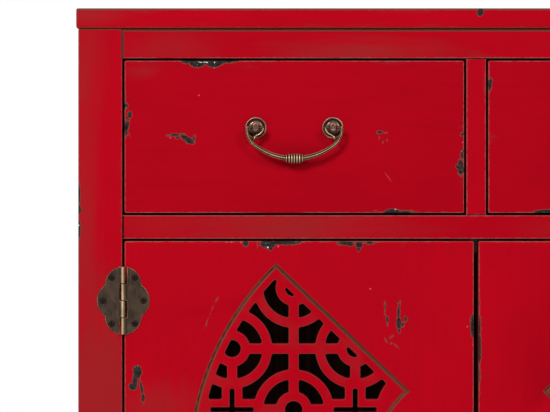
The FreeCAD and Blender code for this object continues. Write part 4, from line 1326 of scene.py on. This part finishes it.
    def sweep(self, centre, start, angle, steps, radii):
        """Extrudes the selected ring along an arc in the front plane, from a start and by an angle from X
        towards Z. Each step has its own radius."""
        arm = (start - centre).length
        first = math.atan2(start.z - centre.z, start.x - centre.x)
        for i in range(1, steps + 1):
            along = first + angle * i / steps
            middle = centre + Vector((math.cos(along), 0, math.sin(along))) * arm
            grow = radii[i] / radii[i - 1]
            push_ring(centre=centre, angle=angle / steps, grow=grow, middle=middle)

    def arm(self, bail):
        """The left half of the bar: a rounded top, a short run down, a corner bend and a wide bend."""
        sizes = self.sizes
        last = 0.5 * MM
        height = 1.5 * MM
        self.ring(bail, self.point(-sizes.half_width, height), last, sizes.reeds)
        bpy.ops.mesh.edge_face_add()
        shape = ((1.2, 1.05), (0.6, 1.5), (-0.3, 1.62), (-1.1, 1.35), (-sizes.corner_start / MM, 0))
        for z, radius in shape:
            radius = radius * MM or sizes.thin
            middle = self.point(-sizes.half_width, z * MM)
            push_ring(move=(0, 0, z * MM - height), grow=radius / last, middle=middle)
            last = radius
            height = z * MM
        corner_x = -sizes.half_width + sizes.corner_radius
        run = sizes.drop - sizes.corner_start
        wide = (corner_x**2 + run**2 - sizes.corner_radius**2) / (2 * (run - sizes.corner_radius))
        corner = self.point(corner_x, -sizes.corner_start)
        middle = self.point(0, wide - sizes.drop)
        meet = middle + (corner - middle).normalized() * wide
        bend = math.atan2(corner.z - middle.z, corner.x - middle.x) % (2 * math.pi)
        spans = ((corner, bend - math.pi, 12), (middle, 1.5 * math.pi - bend, 14))
        lengths = (sizes.corner_radius * spans[0][1], wide * spans[1][1])
        done = 0.0
        start = self.point(-sizes.half_width, -sizes.corner_start)
        for (centre, angle, steps), stretch in zip(spans, lengths):
            shares = [(done + stretch * i / steps) / sum(lengths) for i in range(steps + 1)]
            radii = [sizes.thin + (sizes.thick - sizes.thin) * s**0.8 for s in shares]
            self.sweep(centre, start, angle, steps, radii)
            done += stretch
            start = meet
        bpy.ops.mesh.edge_face_add()

    def spur(self):
        """The spur that curls down round the eye post from its inner side and ends in a small leaf."""
        sizes = self.sizes
        sweep_angle = math.radians(72)
        post = self.point(-sizes.spacing / 2, 0)
        start = post + Vector((sizes.spur_radius, 0, 0))
        bpy.ops.mesh.select_mode(type="VERT")
        bpy.ops.mesh.select_all(action="DESELECT")
        bpy.ops.mesh.primitive_circle_add(vertices=16, radius=sizes.spur_wire, location=start)
        bpy.ops.mesh.edge_face_add()
        steps = 10
        thin = [sizes.spur_wire * (1.25 - 0.35 * i / steps) for i in range(steps + 1)]
        thin[0] = sizes.spur_wire
        self.sweep(post, start, -sweep_angle, steps, thin)
        outward = Vector((math.cos(sweep_angle), 0, -math.sin(sweep_angle)))
        turn_point = post + outward * sizes.spur_radius
        tail = turn_point + outward * sizes.spur_tail
        bend = math.radians(180) - sweep_angle
        wire = thin[-1]
        leaf = [wire, wire * 0.95, wire, 1.25 * wire, 1.7 * wire, sizes.leaf, sizes.leaf]
        leaf += [0.85 * sizes.leaf, 0.5 * sizes.leaf, 0.15 * sizes.leaf]
        self.sweep(tail, turn_point, bend - math.radians(36), len(leaf) - 1, leaf)
        bpy.ops.mesh.edge_face_add()

    def pins(self):
        """The pins in the eye post, with a bead against each of its sides and a knob at each end."""
        sizes = self.sizes
        post = -sizes.spacing / 2
        pin = sizes.pivot_radius
        axis = Vector((1, 0, 0))
        for side, far in ((-1, -sizes.half_width), (1, post + sizes.spur_radius)):
            face = post + side * sizes.eye_half_width
            tip = face - side * sizes.eye_depth
            out = side * MM
            profile = [
                (far + 1.5 * out, 0), (far + 1.35 * out, 0.55 * pin), (far + 0.9 * out, 0.9 * pin),
                (far, pin), (face + 1.7 * out, 0.8 * pin), (face + 1.45 * out, 1.25 * pin),
                (face + 0.9 * out, 1.4 * pin), (face + 0.4 * out, 1.25 * pin), (face + 0.15 * out, pin),
                (tip, pin), (tip, 0),
            ]
            points = [self.point(x, radius) for x, radius in profile]
            turn(points, self.pivot, axis, 20)

    def rings(self):
        """Two thin rings round the bar, part of the way down its corner bend."""
        sizes = self.sizes
        corner = self.point(sizes.corner_radius - sizes.half_width, -sizes.corner_start)
        for degrees in (24, 30):
            angle = math.radians(180 + degrees)
            outward = Vector((math.cos(angle), 0, math.sin(angle)))
            along = Vector((-math.sin(angle), 0, math.cos(angle)))
            centre = corner + outward * sizes.corner_radius
            bore = 0.9 * sizes.thin
            profile = [(-0.6, 0), (-0.45, 0.55), (0, 0.8), (0.45, 0.55), (0.6, 0), (-0.6, 0)]
            points = [centre + along * (a * MM) + outward * (bore + r * MM) for a, r in profile]
            turn(points, centre, along, 20)

    def collar(self):
        """The turned collar: a row of beads that swells at its middle."""
        sizes = self.sizes
        half = sizes.collar_length / 2
        pitch = sizes.collar_length / sizes.collar_beads
        bead = ((0.02, 0.8), (0.14, 0.9), (0.3, 0.97), (0.5, 1.0), (0.7, 0.97), (0.86, 0.9), (0.98, 0.8))
        profile = [(-half, 0)]
        for i in range(sizes.collar_beads):
            for share_along, share_out in bead:
                x = -half + (i + share_along) * pitch
                profile.append((x, share_out * self.crest(abs(-half + (i + 0.5) * pitch) / half)))
        profile.append((half, 0))
        line = self.point(0, -sizes.drop)
        turn([line + Vector((x, 0, r)) for x, r in profile], line, Vector((1, 0, 0)), 40)


class CABINET_OT_fittings(bpy.types.Operator):
    """Makes the roses, eye posts and rings of bronze"""

    bl_idname = "cabinet.fittings"
    bl_label = "Roses, posts and rings"

    # Material slots after a rose's or a post's own; on the eye posts the rim slot is a painted highlight on
    # the rim's upper faces
    RIM, HOLLOW = 1, 2

    def execute(self, context):
        metal = context.scene.cabinet_bronze
        sizes = context.scene.cabinet_pulls
        domes = {
            "drawer": self.dome("drawer_rose", metal, joint_place("left_bail_swing").z),
            "door": self.dome("door_rose", metal, joint_place("left_ring_swing").z),
        }
        rim = bronze("rose_rim", metal, times(1.4, metal.post), metal.rubbed, streak_axis=X, roughness=0.35)
        post = bronze("post_bronze", metal, metal.post, times(1.5, metal.post))
        post_rim = bronze("post_rim", metal, times(2, metal.post), metal.rubbed, streak_axis=X)
        body, recess = [bpy.data.materials[name] for name in ("pull_bronze", "pull_recess")]
        place = joint_place("left_bail_swing") - Vector((sizes.spacing / 2, 0, 0))
        place.y = FRONT
        rose = self.rose(sizes, place)
        pair = self.pair(rose, sizes)
        roses = {
            "left_drawer": (pair, Vector()),
            "right_drawer": (pair, joint_place("right_bail_swing") - joint_place("left_bail_swing")),
        }
        for hand in HANDS:
            shift = joint_place(hand + "_ring_swing") - place
            shift.y = 0
            roses[hand + "_door"] = (rose, shift)
        for body_name, (model, shift) in roses.items():
            node = body_name + ("_roses" if "drawer" in body_name else "_rose")
            piece = twin(model, "aged_" + node, shift)
            dress(piece, node, body_name, "aged_bronze", domes[body_name.split("_")[1]], rim, recess)
            smooth(piece, 40)
        for model in (rose, pair):
            bpy.data.objects.remove(model)
        for hand in HANDS:
            for node, owner in (("drawer_eye_posts", "drawer"), ("door_eye_post", "door")):
                self.eye_post(f"{hand}_{node}", f"{hand}_{owner}", sizes, post, post_rim)
            smooth(aged(hand + "_door_ring", hand + "_ring", body), 40)
        return {"FINISHED"}

    def dome(self, name, metal, height):
        """Bronze of a rose, with painted shade darkening its lower half."""

        # Painted shade: the lower half of each dome darker
        def low(graph):
            return graph.z.step(height, height - 5 * MM) * 0.8

        polish = {"streak_axis": X, "roughness": 0.21, "metallic": 0.9}
        return bronze(name, metal, metal.dome, times(2.8, metal.dome), dirt=low, **polish)

    def rose(self, sizes, place):
        """One round plate, turned: a rounded rim, a groove and a dome."""
        rim = sizes.rose_rim
        outer = sizes.rose_radius
        profile = [
            (sizes.rose_bore, 0), (outer, 0), (outer, 0.65 * rim), (outer - 0.15 * MM, 0.9 * rim),
            (outer - 0.5 * MM, rim), (outer - 0.95 * MM, rim), (outer - 1.25 * MM, 0.85 * rim),
            (outer - 1.4 * MM, 0.45 * rim), (sizes.dome_radius + 0.1 * MM, 0.4 * rim),
        ]
        steps = 10
        base = 0.45 * rim
        for i in range(steps + 1):
            outward = 1 - i / steps
            radius = sizes.hub_radius + (sizes.dome_radius - sizes.hub_radius) * outward
            profile.append((radius, base + (sizes.dome_height - base) * (1 - outward**5)))
        profile += [(sizes.rose_bore, sizes.dome_height), (sizes.rose_bore, 0)]
        piece = new_piece("rose_model", slots=3)
        begin_edit(piece)
        turn([place + Vector((r, -out, 0)) for r, out in profile], place, Vector((0, 1, 0)), 56)
        end_edit()

        def in_ring(face, start, end):
            middle = face.calc_center_median() - place
            return face.normal.y < -0.1 and start < math.hypot(middle.x, middle.z) < end

        bright = outer - 0.75 * MM
        paint_faces(piece, lambda f: in_ring(f, bright, outer), self.RIM)
        paint_faces(piece, lambda f: in_ring(f, sizes.dome_radius - 0.3 * MM, bright), self.HOLLOW)
        return piece

    def pair(self, rose, sizes):
        """Two roses in one piece, as far apart as a drawer's posts."""
        pair = new_piece("rose_pair_model", rose.data.copy())
        begin_edit(pair)
        bpy.ops.mesh.select_all(action="SELECT")
        bpy.ops.mesh.duplicate()
        bpy.ops.transform.translate(value=(sizes.spacing, 0, 0))
        end_edit()
        return pair

    def eye_post(self, node, body, sizes, metal, bright):
        """An eye post whose face is sunk inside a rim, with a painted highlight on the rim's upper faces.
        """
        piece = aged(node, body, metal, bright)
        face_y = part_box(node)[0].y
        joint = joint_place(node.split("_")[0] + ("_bail_swing" if "drawer" in node else "_ring_swing"))
        offsets = (-sizes.spacing / 2, sizes.spacing / 2) if "drawer" in node else (0,)
        begin_edit(piece)
        for offset in offsets:
            middle = Vector((joint.x + offset, face_y, joint.z))

            def in_face(face):
                near = (face.calc_center_median() - middle).length < sizes.eye_half_width
                return near and face.normal.y < -0.99 and at(face.calc_center_median().y, face_y)

            select_where(piece, "FACE", in_face)
            push_ring(grow=0.85, middle=middle)
            middle = middle + Vector((0, sizes.eye_rim / 2, 0))
            push_ring(move=(0, sizes.eye_rim / 2, 0), grow=0.85, middle=middle)
        end_edit()
        # Painted highlight on the upper faces of the rim
        rim = face_y + sizes.eye_rim
        paint_faces(piece, lambda f: f.calc_center_median().y < rim and f.normal.z > 0.1, self.RIM)
        smooth(piece, 35)


class CABINET_OT_timber(bpy.types.Operator):
    """Gives the inside of the cabinet its bare timber"""

    bl_idname = "cabinet.timber"
    bl_label = "Bare timber"

    def execute(self, context):
        settings = context.scene.cabinet_timber
        across = timber("timber_across", X, settings)
        deep = timber("timber_front_to_back", Y, settings)
        upright = timber("timber_upright", Z, settings)
        nodes = {
            across: ["bottom_board", "shelf", "drawer_stops"],
            deep: ["shelf_cleats", "outer_drawer_runners", "centre_drawer_runner"],
            upright: ["back_panel"],
        }
        for hand in HANDS:
            nodes[across] += [hand + "_drawer_back", hand + "_drawer_bottom"]
            nodes[deep].append(hand + "_drawer_sides")
        for material, names in nodes.items():
            for node in names:
                give_material(node, material)
        return {"FINISHED"}


class CABINET_OT_fixings(bpy.types.Operator):
    """Gives the nuts, strikes and magnetic catch their steel and plastic"""

    bl_idname = "cabinet.fixings"
    bl_label = "Fixings"

    def execute(self, context):
        bright = steel(context.scene.cabinet_bronze)
        for hand in HANDS:
            for part in ("drawer_nuts", "door_nut", "door_strike"):
                give_material(f"{hand}_{part}", bright)
        give_material("magnet_catch", plastic(context.scene.cabinet_timber))
        return {"FINISHED"}


class CABINET_OT_stage(bpy.types.Operator):
    """Adds the floor, the lamps, the surroundings and the camera"""

    bl_idname = "cabinet.stage"
    bl_label = "Stage"

    # In metres
    FLOOR_SIZE = 7
    LAMP_SIZE = 1.1
    KEY_PLACE = (-1.8, -3.7, 2.7)
    FILL_PLACE = (2.2, -3.5, 2.4)
    LAMP_AIM = Vector((-0.1, FRONT, 0.55))
    FADE_START, FADE_END = 0.7, 3.3
    CLIP_END = 60

    def execute(self, context):
        settings = context.scene.cabinet_stage
        self.floor()
        self.lamp("key_lamp", self.KEY_PLACE, settings.key_power)
        self.lamp("fill_lamp", self.FILL_PLACE, settings.fill_power)
        self.surroundings(context, settings)
        self.camera(context, settings)
        context.scene.view_settings.view_transform = "Standard"
        return {"FINISHED"}

    def floor(self):
        """A pale floor that keeps the shadow and fades into the white round it."""
        bpy.ops.object.select_all(action="DESELECT")
        bpy.ops.mesh.primitive_plane_add(size=self.FLOOR_SIZE, location=(0, 0, 0))
        floor = bpy.context.object
        floor.name = "floor"
        graph = Finish("pale_floor")
        tint = graph.mix(graph.noise(3), (0.8, 0.8, 0.79), (0.84, 0.84, 0.83))
        fade = graph.distance(graph.place).step(self.FADE_START, self.FADE_END)
        glow = graph.mix(self.seen(graph) * (fade * 0.75 + 0.25), (0, 0, 0), (1, 1, 1))
        finish = graph.done(
            Base_Color=tint,
            Roughness=0.9,
            Specular_IOR_Level=0.1,
            Emission_Color=glow,
            Emission_Strength=1.0,
        )
        floor.data.materials.append(finish)

    def seen(self, graph):
        """1 for what the camera sees, also in reflections and through glass, and 0 for light."""
        seen = 0
        for ray in ("Is Camera Ray", "Is Glossy Ray", "Is Transmission Ray"):
            seen = graph.node("ShaderNodeLightPath", {}, {}, ray) + seen
        return seen.least(1.0)

    def lamp(self, name, place, power):
        """A square lamp that the camera doesn't see, aimed at the cabinet's front."""
        data = bpy.data.lights.new(name, "AREA")
        data.size = self.LAMP_SIZE
        data.energy = power
        lamp = bpy.data.objects.new(name, data)
        bpy.context.scene.collection.objects.link(lamp)
        lamp.location = place
        lamp.rotation_euler = (self.LAMP_AIM - lamp.location).to_track_quat("-Z", "Y").to_euler()
        lamp.visible_camera = False

    def surroundings(self, context, settings):
        """White to the camera, in reflections and through glass, and softer as a light."""
        world = bpy.data.worlds.new("surroundings")
        context.scene.world = world
        world.use_nodes = True
        graph = Graph(world.node_tree)
        strength = self.seen(graph) * (1 - settings.sky) + settings.sky
        background = graph.node("ShaderNodeBackground", {}, {"Color": (1, 1, 1), "Strength": strength})
        graph.node("ShaderNodeOutputWorld", {}, {"Surface": background})

    def camera(self, context, settings):
        data = bpy.data.cameras.new("camera")
        data.lens = settings.lens
        data.clip_end = self.CLIP_END
        camera = bpy.data.objects.new("camera", data)
        context.scene.collection.objects.link(camera)
        distance = settings.frame_width * settings.lens / data.sensor_width
        camera.location = (settings.centre_x, FRONT - distance, settings.centre_z)
        camera.rotation_euler = (math.radians(90), 0, 0)
        context.scene.camera = camera


class CABINET_PT_panel(bpy.types.Panel):
    """The cabinet's settings and steps"""

    bl_label = "Entryway Cabinet"
    bl_idname = "CABINET_PT_panel"
    bl_space_type = "VIEW_3D"
    bl_region_type = "UI"
    bl_category = "Cabinet"

    def draw(self, context):
        for name, group in SETTINGS.items():
            settings = getattr(context.scene, name)
            box = self.layout.box()
            box.label(text=group.__doc__)
            for key in group.__annotations__:
                box.prop(settings, key)
        for operator in OPERATORS:
            self.layout.operator(operator.bl_idname)


SETTINGS = {
    "cabinet_edges": CabinetEdges,
    "cabinet_lacquer": CabinetLacquer,
    "cabinet_bronze": CabinetBronze,
    "cabinet_timber": CabinetTimber,
    "cabinet_pulls": CabinetPulls,
    "cabinet_stage": CabinetStage,
}

OPERATORS = (
    CABINET_OT_case,
    CABINET_OT_aprons,
    CABINET_OT_drawer_fronts,
    CABINET_OT_doors,
    CABINET_OT_hinges,
    CABINET_OT_bails,
    CABINET_OT_fittings,
    CABINET_OT_timber,
    CABINET_OT_fixings,
    CABINET_OT_stage,
)


def register():
    for name, group in SETTINGS.items():
        bpy.utils.register_class(group)
        setattr(bpy.types.Scene, name, bpy.props.PointerProperty(type=group))
    for operator in OPERATORS:
        bpy.utils.register_class(operator)
    bpy.utils.register_class(CABINET_PT_panel)


def unregister():
    bpy.utils.unregister_class(CABINET_PT_panel)
    for operator in reversed(OPERATORS):
        bpy.utils.unregister_class(operator)
    for name, group in SETTINGS.items():
        delattr(bpy.types.Scene, name)
        bpy.utils.unregister_class(group)


def main():
    register()
    bpy.ops.cabinet.case()
    bpy.ops.cabinet.aprons()
    bpy.ops.cabinet.drawer_fronts()
    bpy.ops.cabinet.doors()
    bpy.ops.cabinet.hinges()
    bpy.ops.cabinet.bails()
    bpy.ops.cabinet.fittings()
    bpy.ops.cabinet.timber()
    bpy.ops.cabinet.fixings()
    bpy.ops.cabinet.stage()


if __name__ == "__main__":
    main()
